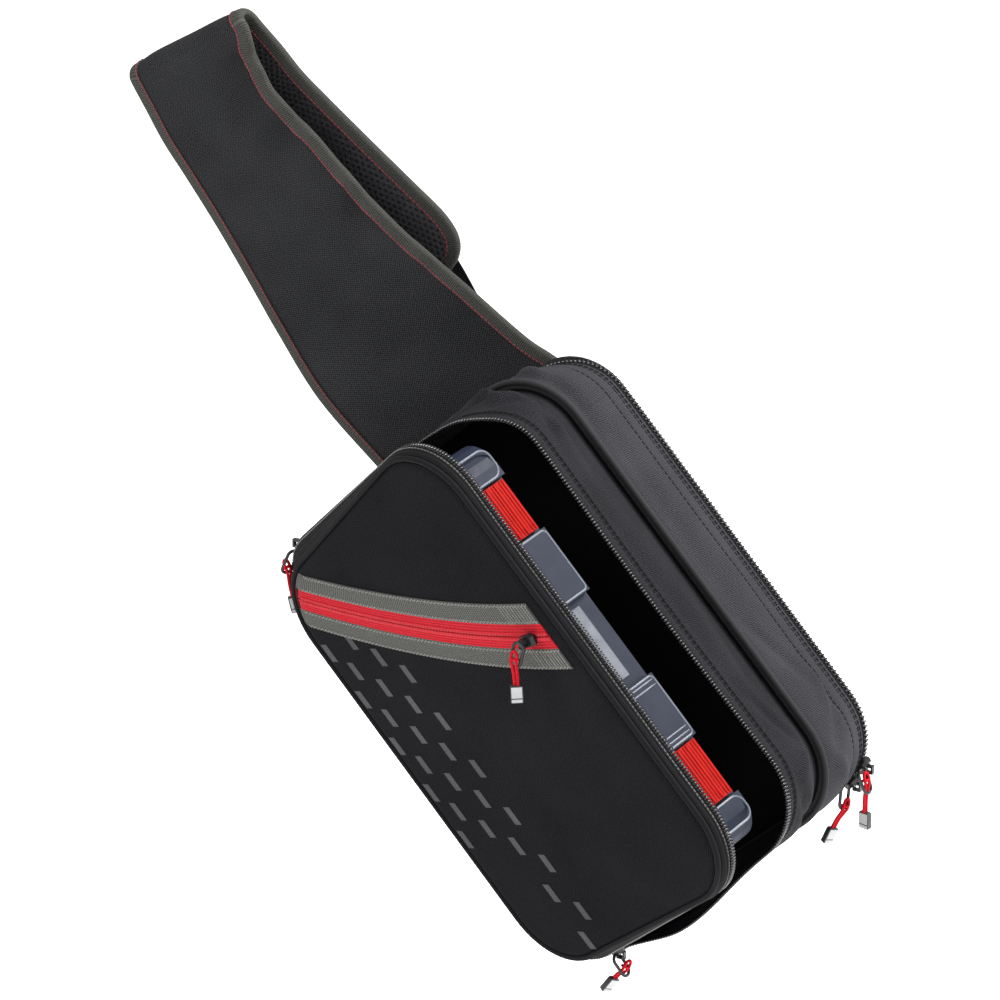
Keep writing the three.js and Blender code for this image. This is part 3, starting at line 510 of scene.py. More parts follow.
def tube_points(path, radius, sides, closed=False):
    """Lines along a path at a radius from it, as points[side][step]."""
    path = np.asarray(path, float)
    if closed:
        ahead, behind = np.roll(path, -1, 0), np.roll(path, 1, 0)
    else:
        ahead = np.vstack([path[1:], 2 * path[-1:] - path[-2:-1]])
        behind = np.vstack([2 * path[:1] - path[1:2], path[:-1]])
    tangent = unit(ahead - behind)
    spread = path - path.mean(0)
    plane = np.linalg.svd(spread, full_matrices=False)[2][2]
    side = unit(np.cross(tangent, plane))
    up = np.cross(side, tangent)
    turns = [2 * math.pi * k / sides for k in range(sides)]
    return np.array([path + radius * (side * math.cos(a) + up * math.sin(a)) for a in turns])


def smoothed(values, count):
    """A row of points drawn out to count points along a smooth curve through them."""
    values = np.asarray(values, float)
    values = np.vstack([2 * values[:1] - values[1:2], values, 2 * values[-1:] - values[-2:-1]])
    spans = len(values) - 3
    where = np.linspace(0, spans, count)
    i = np.minimum(where.astype(int), spans - 1)
    t = (where - i)[:, None]
    a, b, c, d = values[i], values[i + 1], values[i + 2], values[i + 3]
    return 0.5 * (
        2 * b + (c - a) * t + (2 * a - 5 * b + 4 * c - d) * t**2 + (3 * b - a - 3 * c + d) * t**3
    )


def spaced(path, step):
    """Points at equal steps along a path, the path's directions there, and a function that
    reads other values of the path at the same places."""
    run = running(path, False)
    at = np.arange(step / 2, run[-1], step)

    def between(values):
        return np.stack([np.interp(at, run, values[:, k]) for k in range(values.shape[1])], 1)

    ahead = np.gradient(path, axis=0)
    return between(path), unit(between(ahead)), between


# Outline of the bag's face

CORNER_STEPS = 14
EDGE_STEPS = (30, 56, 30, 56)
WALL_ROWS = 45
OUTLINE_COUNT = 4 * (CORNER_STEPS + 1) + sum(EDGE_STEPS) - 4
HINGE_FROM = 2 * (CORNER_STEPS + 1) + EDGE_STEPS[0] - 2
HINGE_TO = HINGE_FROM + EDGE_STEPS[1]
ALL_COLUMNS = np.arange(OUTLINE_COUNT)
CLOSED_COLUMNS = np.append(ALL_COLUMNS, 0)
OPEN_COLUMNS = np.arange(HINGE_TO, HINGE_FROM + OUTLINE_COUNT + 1) % OUTLINE_COUNT


def outline(mix):
    """Points and outward directions round the bag's face. mix is 1 for the body, 0 for the
    door's front seam, whose ends slope more. It starts at the right side's upper end."""
    top = DOOR_SLOPES[0] + (BODY_SLOPES[0] - DOOR_SLOPES[0]) * mix
    bottom = DOOR_SLOPES[1] + (BODY_SLOPES[1] - DOOR_SLOPES[1]) * mix
    x, z = WIDTH / 2, LENGTH / 2
    corners = [np.array(p, float) for p in ((x, z), (-x, z - top), (-x, -z + bottom), (x, -z))]
    arcs = []
    for i, corner in enumerate(corners):
        before = unit(corners[i - 1] - corner)
        after = unit(corners[(i + 1) % 4] - corner)
        half = math.acos(before @ after) / 2
        centre = corner + unit(before + after) * CORNER / math.sin(half)
        start = corner + before * CORNER / math.tan(half) - centre
        angle = math.atan2(start[1], start[0])
        turn = angle + (math.pi - 2 * half) * np.linspace(0, 1, CORNER_STEPS + 1)
        arcs.append((centre, np.stack([np.cos(turn), np.sin(turn)], 1)))
    points, normals = [], []
    for i, (centre, out) in enumerate(arcs):
        points.append(centre + CORNER * out)
        normals.append(out)
        far_centre, far_out = arcs[(i + 1) % 4]
        far = far_centre + CORNER * far_out[0]
        share = (np.arange(1, EDGE_STEPS[i]) / EDGE_STEPS[i])[:, None]
        points.append(points[-1][-1] * (1 - share) + far * share)
        normals.append(np.repeat(out[-1:], EDGE_STEPS[i] - 1, 0))
    return np.vstack(points), np.vstack(normals)


# Where the body's front edge hangs out or falls in: place round the outline, reach before it,
# reach after it and distance outwards
DROOPS = [(602, 38, 58, 12.5), (45, 28, 28, -6.5), (870, 110, 110, -2.8)]
# Where the rear's top edge has slumped under the strap
SINK = {"at": 52, "length": 30, "from_y": 58, "over": 40, "drop": 4.5}
SEAM_PINCH = {"deep": 0.9, "wide": 1.5}
BODY_OUTLINE = outline(1.0)
ROUND = running(BODY_OUTLINE[0], True)
PERIMETER = ROUND[-1]
ALONG = ROUND[:-1]


def away_from(at, along):
    """Signed distance round the outline from a place."""
    return (along - at + PERIMETER / 2) % PERIMETER - PERIMETER / 2


def rear_sink(along, y):
    """How far the rear's top edge has slumped at a depth."""
    depth = np.clip((y - SINK["from_y"]) / SINK["over"], 0, 1)
    away = away_from(SINK["at"], along)
    return SINK["drop"] * np.exp(-((away / SINK["length"]) ** 2)) * depth


def at_outline(offset, y, mix=1.0, columns=ALL_COLUMNS):
    """Points offset outwards from the outline at depth y, and their outward directions."""
    flat, normal = outline(mix)
    y = np.broadcast_to(y, (len(columns),))
    lift = np.broadcast_to(np.ravel(offset), (len(columns),)) - rear_sink(ALONG[columns], y)
    moved = flat[columns] + normal[columns] * lift[:, None]
    out = np.stack([normal[columns, 0], np.zeros(len(columns)), normal[columns, 1]], 1)
    return np.stack([moved[:, 0], y, moved[:, 1]], 1), out


def creases(table):
    """Dents and ridges in cloth. Each has a place round the outline and a depth y, the angle
    that it turns from the outline's way, its length, its width and how far it pushes out."""

    def push(along, y):
        total = np.zeros_like(along)
        for at, depth, turn, long, wide, out in table:
            away = away_from(at, along)
            c, s = math.cos(math.radians(turn)), math.sin(math.radians(turn))
            run = away * c + (y - depth) * s
            across = (y - depth) * c - away * s
            total += out * np.exp(-((run / long) ** 2) - (across / wide) ** 2)
        return total

    return push


def front_droop(along, y):
    """How far the open front edge of the body hangs out or falls in, fading to the seam."""
    total = np.zeros_like(along)
    for at, before, after, out in DROOPS:
        away = away_from(at, along)
        total += out * np.exp(-((away / np.where(away < 0, before, after)) ** 2))
    fade = np.clip((MAIN_DEPTH - 3 - y) / (MAIN_DEPTH - 8), 0, 1)
    return total * fade**1.2


def cloth_lift(columns, y, push, soft, droop):
    """How far creases and the hanging front edge push the cloth out at a depth."""
    more = soft * push(ALONG[columns], y) if push and soft else 0.0
    return more + (front_droop(ALONG[columns], y) if droop else 0.0)


def sweep(name, profile, material, slot, place=BAG, opened=False, push=None, droop=False,
          **extra):
    """A ring round the outline. Profile rows are offset, y, mix and share of the creases."""
    columns = OPEN_COLUMNS if opened else ALL_COLUMNS
    points = [
        at_outline(offset + cloth_lift(columns, y, push, soft, droop), y, mix, columns)[0]
        for offset, y, mix, soft in profile
    ]
    return add_grid(
        name, points, material, slot, place, wrap_rows=True, wrap_cols=not opened,
        capped=opened, **extra,
    )


def plain(rows, mix=1.0):
    """A profile without creases, from rows of offset and y."""
    return [(offset, y, mix, 0) for offset, y in rows]


def round_profile(offset, y, radius, sides, mix=1.0):
    angles = 2 * math.pi * (np.arange(sides) + 0.5) / sides
    return plain([(offset + radius * math.cos(a), y + radius * math.sin(a)) for a in angles], mix)


def wall_profile(front, back, table, mixes=(1.0, 1.0), seams=()):
    """A cloth wall from a short table of share of its depth, lift and softness. Sewn seams
    pinch it at their depths."""
    share = np.linspace(0, 1, WALL_ROWS)
    ease = smoothed(table, 160)
    lift = np.interp(share, ease[:, 0], ease[:, 1])
    soft = np.clip(np.interp(share, ease[:, 0], ease[:, 2]), 0, 1)
    y = front + (back - front) * share
    for seam in seams:
        lift = lift - SEAM_PINCH["deep"] * np.exp(-(((y - seam) / SEAM_PINCH["wide"]) ** 2))
    mix = mixes[0] + (mixes[1] - mixes[0]) * share
    outside = list(zip(lift, y, mix, soft))
    inside = [(o - WALL, d, m, s) for o, d, m, s in outside[::-2]]
    return outside + inside


def stitch_row(name, offset, y, material, slot, mix=1.0, place=BAG, opened=False, push=None,
               soft=0.0, droop=False, pitch=3.8, length=2.8, thick=1.05):
    """A row of stitches round the outline, lying on the cloth."""
    columns = OPEN_COLUMNS if opened else CLOSED_COLUMNS
    lift = offset + cloth_lift(columns, y, push, soft, droop)
    path, out = at_outline(lift, y, mix, columns)
    centres, along, between = spaced(path, pitch)
    add_bits(
        name, STITCH, centres, along, between(out), (length, thick, thick), material, slot, place,
    )


# Body

# Rows of place round the outline, depth, angle, length, width and distance outwards
MAIN_CREASES = creases([
    (25, 38, 4, 45, 6, -5.6),
    (30, 29, 6, 40, 4, 2.8),
    (8, 24, 34, 20, 4, -4.4),
    (40, 20, -30, 18, 3.5, -3.8),
    (56, 31, 36, 17, 3.5, 3.6),
    (62, 24, -24, 22, 3.5, -4.4),
    (88, 17, 18, 24, 4, -3.4),
    (74, 34, 12, 28, 4, 3.0),
    (110, 34, -14, 28, 5, -2.4),
    (150, 22, 10, 34, 9, 1.0),
    (958, 30, 6, 34, 9, -1.5),
    (905, 34, -4, 50, 8, -1.9),
    (850, 28, 5, 46, 10, 1.1),
    (812, 34, 8, 36, 7, -2.6),
    (768, 26, -22, 24, 4, -4.6),
    (748, 32, 38, 16, 4, 3.6),
    (712, 24, -30, 22, 4, -4.2),
    (640, 26, 12, 36, 9, -1.2),
    (520, 25, -12, 34, 9, 1.2),
])
REAR_CREASES = creases([
    (20, 58, 6, 48, 5, -4.2),
    (44, 66, 28, 18, 4, 3.2),
    (50, 80, -20, 24, 4, -3.2),
    (72, 62, -34, 16, 4, -3.4),
    (96, 68, 14, 26, 5, -2.4),
    (130, 76, -10, 34, 9, 1.2),
    (960, 62, -3, 60, 7, -1.6),
    (880, 60, 2, 60, 7, -1.9),
    (840, 78, 8, 30, 9, 1.0),
    (800, 66, -18, 26, 4, -2.6),
    (770, 80, 24, 22, 4, 2.0),
    (745, 72, 38, 18, 4, -3.0),
    (722, 66, -34, 18, 4, 2.6),
    (704, 80, 22, 20, 4, -2.6),
    (600, 74, -8, 40, 10, -1.2),
])

FRONT_SEAM = 9.5
REAR_SEAM = 96.1
REAR_LOW_SEAM = 83.5
front_edge, front_back = ZIP_HALF + GAP, MAIN_DEPTH - DIVIDER / 2 - GAP
rear_edge, rear_back = MAIN_DEPTH + DIVIDER / 2 + GAP, REAR_ZIP_START - GAP
main_wall = wall_profile(front_edge, front_back, [
    (0, 0.2, 0), (0.06, 0.5, 0.05), (0.2, 0.8, 0.2), (0.26, 1.1, 0.4), (0.4, 2.6, 1),
    (0.55, 2.8, 1), (0.72, 0.6, 0.8), (0.9, -3.0, 0.2), (1, -3.8, 0),
], seams=(FRONT_SEAM,))
rear_wall = wall_profile(rear_edge, rear_back, [
    (0, -2.2, 0), (0.04, -1.2, 0.2), (0.14, 1.2, 0.7), (0.34, 3.4, 1), (0.6, 3.4, 1),
    (0.72, 2.4, 0.6), (0.85, 1.3, 0.3), (0.94, 0.7, 0.1), (1, 0.1, 0),
], seams=(REAR_SEAM, REAR_LOW_SEAM))
# The front gusset wears the darker copy of the gusset cloth, which paints shade on it.
sweep("gusset_front_cloth", main_wall, FRONT_CLOTH_PAINTED_SHADE, "charcoal_cloth", push=MAIN_CREASES,
      droop=True, stands_for=["main_gusset"])
sweep("gusset_rear_cloth", rear_wall, GUSSET_CLOTH, "charcoal_cloth", push=REAR_CREASES,
      stands_for=["rear_gusset"])


def lift_at(profile, y):
    """Offset and softness of a wall's outside at a depth."""
    outside = np.array(profile[:WALL_ROWS])
    return [np.interp(y, outside[:, 1], outside[:, column]) for column in (0, 3)]


for name, wall, folds, y, opened in (
    ("front_tape_stitch_a", main_wall, MAIN_CREASES, FRONT_SEAM - 1.3, True),
    ("front_tape_stitch_b", main_wall, MAIN_CREASES, FRONT_SEAM + 1.3, True),
    ("rear_stitch_a", rear_wall, REAR_CREASES, REAR_SEAM + 1.7, False),
    ("rear_stitch_b", rear_wall, REAR_CREASES, REAR_SEAM - 1.9, False),
    ("rear_stitch_c", rear_wall, REAR_CREASES, REAR_LOW_SEAM, False),
):
    offset, soft = lift_at(wall, y)
    stitch_row(name, offset + 0.12, y, DARK_THREAD, "black_cloth", opened=opened, push=folds,
               soft=soft, droop=y < MAIN_DEPTH)

# A flange under the welt. Its section is a T, which leaves a dark valley beside the welt.
web_front, web_back = MAIN_DEPTH - 0.7, MAIN_DEPTH + 0.7
flange_front, flange_back = front_back - 2, rear_edge + 2
flange_top = 0.4 * BODY_WELT
flange = plain([
    (-5.0, flange_front), (-5.0, web_front), (flange_top, web_front), (flange_top, web_back),
    (-4.4, web_back), (-3.6, flange_back), (-5.6, flange_back), (-6.4, flange_front),
])
sweep("seam_flange", flange, ROPE_CLOTH, "black_piping")
sweep("seam_welt", round_profile(BODY_WELT + GAP - 0.6, MAIN_DEPTH, BODY_WELT, 12), ROPE_CLOTH,
      "black_piping", stands_for=["body_piping"])


FILL_RINGS = 15


def face_grid(offsets, mix, depth_at, place, name, material, slot, back, **extra):
    """A panel that fills the outline, in rings from its edge to its middle. depth_at gives
    y for a ring's inset and its points. A flat face closes it at depth back."""
    flat, normal = outline(mix)
    inner = flat + normal * offsets[-1]
    centre = inner.mean(0)
    lines = [(-offset, flat + normal * offset) for offset in offsets]
    lines += [
        (-offsets[-1] + share * WIDTH / 2, inner + (centre - inner) * share)
        for share in np.linspace(0, 1, FILL_RINGS)[1:-1]
    ]
    rings = [
        np.stack([line[:, 0], depth_at(inset, line), line[:, 1]], 1) for inset, line in lines
    ]
    edge = rings[0].copy()
    edge[:, 1] = back
    middle = edge.mean(0)
    behind = [middle + (edge - middle) * share for share in (0.05, 0.5, 1)]
    points = np.array(behind + rings)
    faces = ring_stack(*points.shape[:2], flip=True)
    return add_mesh(name, placed(points, place), faces, material, slot,
                    uvs=flat_uvs(points, faces), **extra)


def divider_depth(inset, ring):
    """The lining sags a little between its sewn edges."""
    sag = 1.4 * np.sin(ring[:, 0] / 31 + 0.6) * np.cos(ring[:, 1] / 47)
    return MAIN_DEPTH - DIVIDER / 2 - np.minimum(np.maximum(inset - 2, 0) / 20, 1) * sag * 0.6


face_grid([-WALL - 0.2, -6, -14, -26], 1.0, divider_depth, BAG, "divider_lining", LINING_CLOTH,
          "black_lining", back=MAIN_DEPTH + DIVIDER / 2, stands_for=["divider_panel"])


def back_depth(inset, ring):
    """The padded back: rounded at its edge, crowned, with two sewn channels along it."""
    edge = np.clip((inset - 1.5) / 11, 0, 1)
    crown = BACK_FRONT + 0.6 + (BACK_REAR - BACK_FRONT - 0.6) * np.sqrt(edge * (2 - edge))
    swell = 1.6 * np.clip(inset / 60, 0, 1)
    channels = sum(np.exp(-(((ring[:, 0] - x) / 3.5) ** 2)) for x in (-36, 36))
    inside = np.clip((inset - 16) / 10, 0, 1)
    return crown + swell - 2.6 * channels * inside


back_panel = face_grid([-1.5, -1.8, -2.5, -3.5, -5, -8, -12, -17, -24, -32], 1.0, back_depth, BAG,
                       "back_padding", MESH_CLOTH, "black_mesh", back=BACK_FRONT,
                       stands_for=["back_panel"])

hinge_line = [
    (-WIDTH / 2 + WALL, 3.2), (-WIDTH / 2 + 0.1, 3.2), (-WIDTH / 2 - 0.4, 1.2),
    (-WIDTH / 2 - 1.0, -0.8), (-WIDTH / 2 - 0.9, -3.0), (-WIDTH / 2 + 1.0, -3.4),
    (-WIDTH / 2 + 1.6, -1.0), (-WIDTH / 2 + WALL, 0.8),
]
hinge_top = LENGTH / 2 - BODY_SLOPES[0] - CORNER
hinge_bottom = -LENGTH / 2 + BODY_SLOPES[1] + CORNER
hinge_rows = np.linspace(hinge_bottom, hinge_top, 48)
hinge_points = [
    [(x + 0.35 * math.sin(z / 9 + y), y, z) for z in hinge_rows] for x, y in hinge_line
]
add_grid("hinge_cloth", hinge_points, GUSSET_CLOTH, "charcoal_cloth", wrap_rows=True, capped=True,
         stands_for=["hinge_strip"])


# Zippers


ACROSS = (0.0, 1.0, 0.0)


def open_zipper(name, place, sign, stands_for):
    """One half of the open zipper: its tape and a row of coil loops on the free edge."""
    tape = plain([
        (0.35, sign * ZIP_HALF), (0.62, sign * 2.2), (0.62, sign * 0.9), (-0.5, sign * 0.9),
        (-WALL, sign * ZIP_HALF),
    ])
    droop = place is BAG
    sweep(f"{name}_tape", tape, TAPE_CLOTH, "black_zipper", place, opened=True, droop=droop,
          stands_for=stands_for)
    more = front_droop(ALONG[OPEN_COLUMNS], 0.0) if droop else 0.0
    path, out = at_outline(more + 0.35, sign * 1.0, 1.0, OPEN_COLUMNS)
    centres, _, between = spaced(path, 2.15)
    add_bits(f"{name}_coil", GRAIN, centres, ACROSS, between(out), (4.4, 1.75, 2.6), ZIP_BLACK,
             "black_zipper", place)


open_zipper("body_zip", BAG, 1, ["body_zipper"])
open_zipper("door_zip", DOOR, -1, ["door_zipper"])

zip_middle = REAR_ZIP_START + REAR_ZIP_WIDTH / 2
zip_end = REAR_ZIP_START + REAR_ZIP_WIDTH
rear_tape = plain([
    (0.1, REAR_ZIP_START), (0.55, REAR_ZIP_START + 1.2), (0.2, zip_middle - 0.9),
    (0.2, zip_middle + 0.9), (-0.6, zip_end - 1.2), (-1.6, zip_end), (-WALL - 1.6, zip_end),
    (-WALL, REAR_ZIP_START),
])
sweep("rear_zip_tape", rear_tape, TAPE_CLOTH, "black_zipper", stands_for=["rear_zipper"])
path, out = at_outline(0.55, zip_middle, 1.0, CLOSED_COLUMNS)
centres, along, between = spaced(path, 1.5)
lean = np.where(np.arange(len(centres)) % 2 == 0, 1.0, -1.0)[:, None] * np.ones(3)
coil_spots = centres + 0.95 * lean * ACROSS
add_bits("rear_zip_coil", GRAIN, coil_spots, ACROSS + 0.35 * lean * along, between(out),
         (3.3, 1.35, 1.7), ZIP_BLACK, "black_zipper")


# Door


def door_front(x, z):
    """Depth of the door's front face: a soft crown that falls to the seam."""
    rise = np.clip(1 - (np.abs(x) / (WIDTH / 2)) ** 5, 0, 1)
    rise = rise * np.clip(1 - (np.abs(z) / (LENGTH / 2)) ** 7, 0, 1)
    waves = 0.25 * np.sin(x / 33 + z / 61) + 0.2 * np.sin(z / 39 - x / 57 + 1.3)
    return -DOOR_DEPTH - 0.2 - 1.1 * rise - waves * rise


def door_depth(inset, ring):
    """The padded door: its front rolls back to the seam at its edge."""
    edge = np.clip((inset - 1.5) / 5, 0, 1)
    roll = np.sqrt(edge * (2 - edge))
    face = door_front(ring[:, 0], ring[:, 1])
    return -DOOR_DEPTH + 1.9 + (face + DOOR_DEPTH - 1.9) * roll


door_panel = face_grid([-1.5, -2.0, -2.7, -3.5, -4.5, -6, -8, -11, -15, -21, -28], 0.0, door_depth,
                       DOOR, "door_cover", DOOR_CLOTH, "black_cloth",
                       back=-DOOR_DEPTH + DOOR_PANEL, stands_for=["door_panel"])

welt_y = -DOOR_DEPTH + DOOR_WELT - 0.4
sweep("door_welt", round_profile(0.2, welt_y, DOOR_WELT, 12, 0.0), WELT_CLOTH, "black_piping",
      DOOR, stands_for=["door_piping"])
rim_front, rim_back = welt_y + DOOR_WELT + GAP, -ZIP_HALF - GAP
DOOR_CREASES = creases([
    (30, -7, 10, 30, 3, 0.4), (180, -7, -8, 36, 3, -0.4), (700, -7, 6, 40, 3, 0.4),
    (780, -7, -6, 40, 3, -0.4), (880, -7, 4, 50, 3, 0.3),
])
rim_wall = wall_profile(rim_front, rim_back, [
    (0, 1.2, 0), (0.25, 1.9, 0.5), (0.42, 1.7, 1), (0.5, 1.1, 1), (0.58, 1.5, 1),
    (0.8, 1.1, 0.5), (1, 0.5, 0),
], mixes=(0.1, 1.0))
sweep("door_wall_cloth", rim_wall, WELT_CLOTH, "charcoal_cloth", DOOR, push=DOOR_CREASES,
      stands_for=["door_rim"])
stitch_row("door_tape_stitch", 1.15, -5.0, PALE_THREAD, "grey_binding", mix=0.85, place=DOOR,
           opened=True, pitch=2.6, length=1.9, thick=0.75)


# Pocket zipper on the door


def pocket_height(x):
    """The middle line of the pocket's zipper, which sags below a straight line."""
    share = (x + WIDTH / 2) / WIDTH
    straight = POCKET_LEFT + (POCKET_RIGHT - POCKET_LEFT) * share
    return straight - POCKET_SAG * 4 * share * (1 - share)


SLOPE = math.hypot(WIDTH, POCKET_LEFT - POCKET_RIGHT) / WIDTH


def seam_reach(offset, inset):
    """How far left the pocket's line at an offset may run before the door's seam."""
    flat, normal = outline(0.0)
    edge = flat - normal * inset
    left = edge[edge[:, 0] < 0]
    gaps = left[:, 1] - (pocket_height(left[:, 0]) + offset * SLOPE)
    order = np.argsort(left[:, 1])
    return float(np.interp(0, gaps[order], left[order, 0]))


def pocket_line(offset, lift, count, inset=2.5):
    """Points along the pocket at an offset from its middle line and a lift off the door."""
    x = np.linspace(seam_reach(offset, inset), POCKET_END - WIDTH / 2, count)
    z = pocket_height(x) + offset * SLOPE
    sink = np.exp(-((x - x[0]) / 2.5) ** 2) * (lift + 0.9)
    return np.stack([x, door_front(x, z) - lift + sink, z], 1)


def pocket_strip(name, rows, material, slot, stands_for, count=90):
    """A strip of cloth on the door from rows of offset and lift, closed underneath."""
    top = [pocket_line(offset, lift, count) for offset, lift in rows]
    under = [pocket_line(offset, -0.4, count) for offset, _ in (rows[-1], rows[0])]
    add_grid(name, top + under, material, slot, DOOR, wrap_rows=True, capped=True,
             stands_for=stands_for)


red_half = POCKET_RED / 2
grey_far = red_half + GAP + POCKET_GREY
for side, name, node in (
    (1, "pocket_grosgrain_upper", "pocket_band_upper"),
    (-1, "pocket_grosgrain_lower", "pocket_band_lower"),
):
    shares = np.linspace(0, 1, 12)
    lifts = 0.55 + 0.5 * np.minimum(1, 6 * np.minimum(shares, 1 - shares) + 0.25)
    offsets = side * (red_half + GAP + POCKET_GREY * shares)
    pocket_strip(name, list(zip(offsets, lifts)), BAND_CLOTH, "grey_binding", [node])

red_offsets = np.linspace(-red_half - 0.5, red_half + 0.5, 65)
cord_ribs = 0.22 * np.abs(np.sin(math.pi * red_offsets / 1.75))
middle_ridge = 0.55 * np.exp(-((np.abs(red_offsets) - 1.7) / 0.9) ** 2)
groove = -0.5 * np.exp(-((red_offsets / 0.45) ** 2))
red_lift = 0.45 + cord_ribs + middle_ridge + groove
pocket_strip("pocket_red_tape", list(zip(red_offsets, red_lift)), RED_CLOTH, "red_tape",
             ["pocket_tape", "pocket_coil"], count=120)


def pocket_bits(name, offset, lift, pitch, angle, sizes, material, slot):
    """Small grains along the pocket, turned by an angle from its line."""
    path = pocket_line(offset, lift, 160, inset=4.5)
    centres, along, _ = spaced(path, pitch)
    flip = np.where(np.arange(len(centres)) % 2 == 0, 1.0, -1.0)[:, None]
    turn = math.radians(angle)
    way = along * math.cos(turn) + np.cross(FORWARD, along) * math.sin(turn) * flip
    add_bits(name, STITCH, centres, way, FORWARD, sizes, material, slot, DOOR)


FORWARD = np.array([0.0, -1.0, 0.0])
inner_row, outer_row = red_half + 1.6, grey_far - 1.1
for k, offset in enumerate((outer_row, inner_row, -inner_row, -outer_row)):
    pocket_bits(f"pocket_zigzag_{k}", offset, 1.12, 1.5, 48, (2.2, 0.68, 0.6), PALE_THREAD,
                "grey_binding")
for name, offset in (("pocket_coil_upper", 1.25), ("pocket_coil_lower", -1.25)):
    pocket_bits(name, offset, 1.0, 1.3, 78, (2.0, 0.8, 0.8), ZIP_RED, "red_tape")

pocket_stop = POCKET_END - WIDTH / 2
TACK_PATCH = 22
tack_x = np.arange(pocket_stop - TACK_PATCH, pocket_stop - 1, 2.3)
tacks = [
    (x, door_front(x, pocket_height(x)) - 1.15, pocket_height(x) + side * offset * SLOPE)
    for x in tack_x for offset in np.arange(inner_row, grey_far - 1.0, 1.5) for side in (1, -1)
]
add_bits("pocket_bar_tacks", STITCH, tacks, (0.12, 0, 1.0), FORWARD, (1.7, 0.8, 0.6), PALE_THREAD,
         "grey_binding", DOOR)

# Printed bars in staggered columns on the door's lower left
BAR_COLUMNS = [
    {"x": 8, "top": 92, "count": 5},
    {"x": 20, "top": 73.2, "count": 4},
    {"x": 35, "top": 89.7, "count": 5},
    {"x": 50, "top": 70.9, "count": 7},
    {"x": 65, "top": 52.1, "count": 6},
]
BAR_PITCH = 35.3
BAR_WIDTH = 5.0
BAR_LENGTH = 13
BAR_SKEW = 0.42
bar_points = []
for column in BAR_COLUMNS:
    for k in range(column["count"]):
        for lift in (0.18, -0.3):
            for a, b in ((-1, -1), (1, -1), (1, 1), (-1, 1)):
                x = column["x"] + (a * BAR_WIDTH - WIDTH) / 2
                z = column["top"] - k * BAR_PITCH + (b * BAR_LENGTH - a * BAR_SKEW * BAR_WIDTH) / 2
                bar_points.append((x, door_front(x, z) - lift, z))
bar_faces = [face[::-1] for face in box_faces(len(bar_points) // 8)]
add_mesh("door_printed_bars", placed(bar_points, DOOR), bar_faces, PRINT_INK, "grey_print",
         uvs=flat_uvs(bar_points, bar_faces))


# Tackle box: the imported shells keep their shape, with softened edges and ribs of their own


def dress(node, material, width, angle):
    """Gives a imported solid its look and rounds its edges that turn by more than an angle."""
    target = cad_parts[node]
    target.data.materials.clear()
    target.data.materials.append(material)
    bevel = target.modifiers.new("soft_edges", "BEVEL")
    bevel.width = width * MM
    bevel.segments = 3
    bevel.limit_method = "ANGLE"
    bevel.angle_limit = math.radians(angle)


for node, material, width in (
    ("tackle_base", CLEAR, 1.2), ("tackle_lid", CLEAR, 1.0),
    ("latch_upper", LATCH_RED, 0.25), ("latch_lower", LATCH_RED, 0.25),
    ("strap_adjuster", BUCKLE, 1.0),
):
    dress(node, material, width, 35)

to_door = np.array(DOOR.inverted())


def door_box(node):
    """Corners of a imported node's box in the door's frame, in millimetres."""
    spots = np.array([v.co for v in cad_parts[node].data.vertices]) / MM
    local = spots @ to_door[:3, :3].T + to_door[:3, 3]
    return local.min(0), local.max(0)


LATCH_RIBS = 17
RIB_SUNK = 0.35
RIB_WIDER = 1.06
RIB_HEIGHT = 1.7
rib_centres, rib_sizes = [], []
for node in ("latch_upper", "latch_lower"):
    low, high = door_box(node)
    step = (high[1] - low[1]) / LATCH_RIBS
    for k in range(LATCH_RIBS):
        middle = (low + high) / 2
        rib_centres.append((high[0] - RIB_SUNK, low[1] + step * (k + 0.5), middle[2]))
        rib_sizes.append((high[2] - low[2] - 1, step * RIB_WIDER, RIB_HEIGHT))
add_bits("latch_ribs", GRAIN, rib_centres, (0, 0, 1.0), (1.0, 0, 0), rib_sizes, LATCH_RED,
         "red_plastic", DOOR)

# The box's raised blocks, as shares of its length from its top
BLOCKS = [(0.0, 0.098), (0.236, 0.395), (0.61, 0.766), (0.912, 1.0)]
BLOCK_INSET = 1.1
END_INSET = 8
# Thickness and corner radii of the pale tubes that paint highlights on the blocks' edges
HIGHLIGHT_WIRE = 0.75
CORNER_HIGHLIGHT_RADIUS = 6.5
INNER_HIGHLIGHT_RADIUS = 3.0
RECESS = (0.4, 0.605)


def block_loop(high, low, y_from, y_to, x, radius):
    """A rounded loop on the box's right side, as a closed path."""
    centres = [
        (y_from + radius, low + radius), (y_to - radius, low + radius),
        (y_to - radius, high - radius), (y_from + radius, high - radius),
    ]
    path = []
    for i, (cy, cz) in enumerate(centres):
        start = math.radians(180 + 90 * i)
        for k in range(6):
            a = start + math.radians(90) * k / 5
            path.append((x, cy + radius * math.cos(a), cz + radius * math.sin(a)))
    return np.array(path)


# A thin pale tube round each block's edge: a painted highlight on the plastic's rounded edge.
for k, (start, end) in enumerate(BLOCKS):
    high = BOX_TOP - start * BOX_LENGTH - (END_INSET if k == 0 else BLOCK_INSET)
    low = BOX_TOP - end * BOX_LENGTH + (END_INSET if k == 3 else BLOCK_INSET)
    radius = CORNER_HIGHLIGHT_RADIUS if k in (0, 3) else INNER_HIGHLIGHT_RADIUS
    loop = block_loop(high, low, BOX_FRONT + 1.4, BOX_BACK - 1.0, BOX_RIGHT - 0.35, radius)
    add_grid(f"box_painted_highlight_{k}", tube_points(loop, HIGHLIGHT_WIRE, 8, closed=True), CLEAR_PAINTED_HIGHLIGHT,
             "clear_plastic", DOOR, wrap_rows=True, wrap_cols=True)

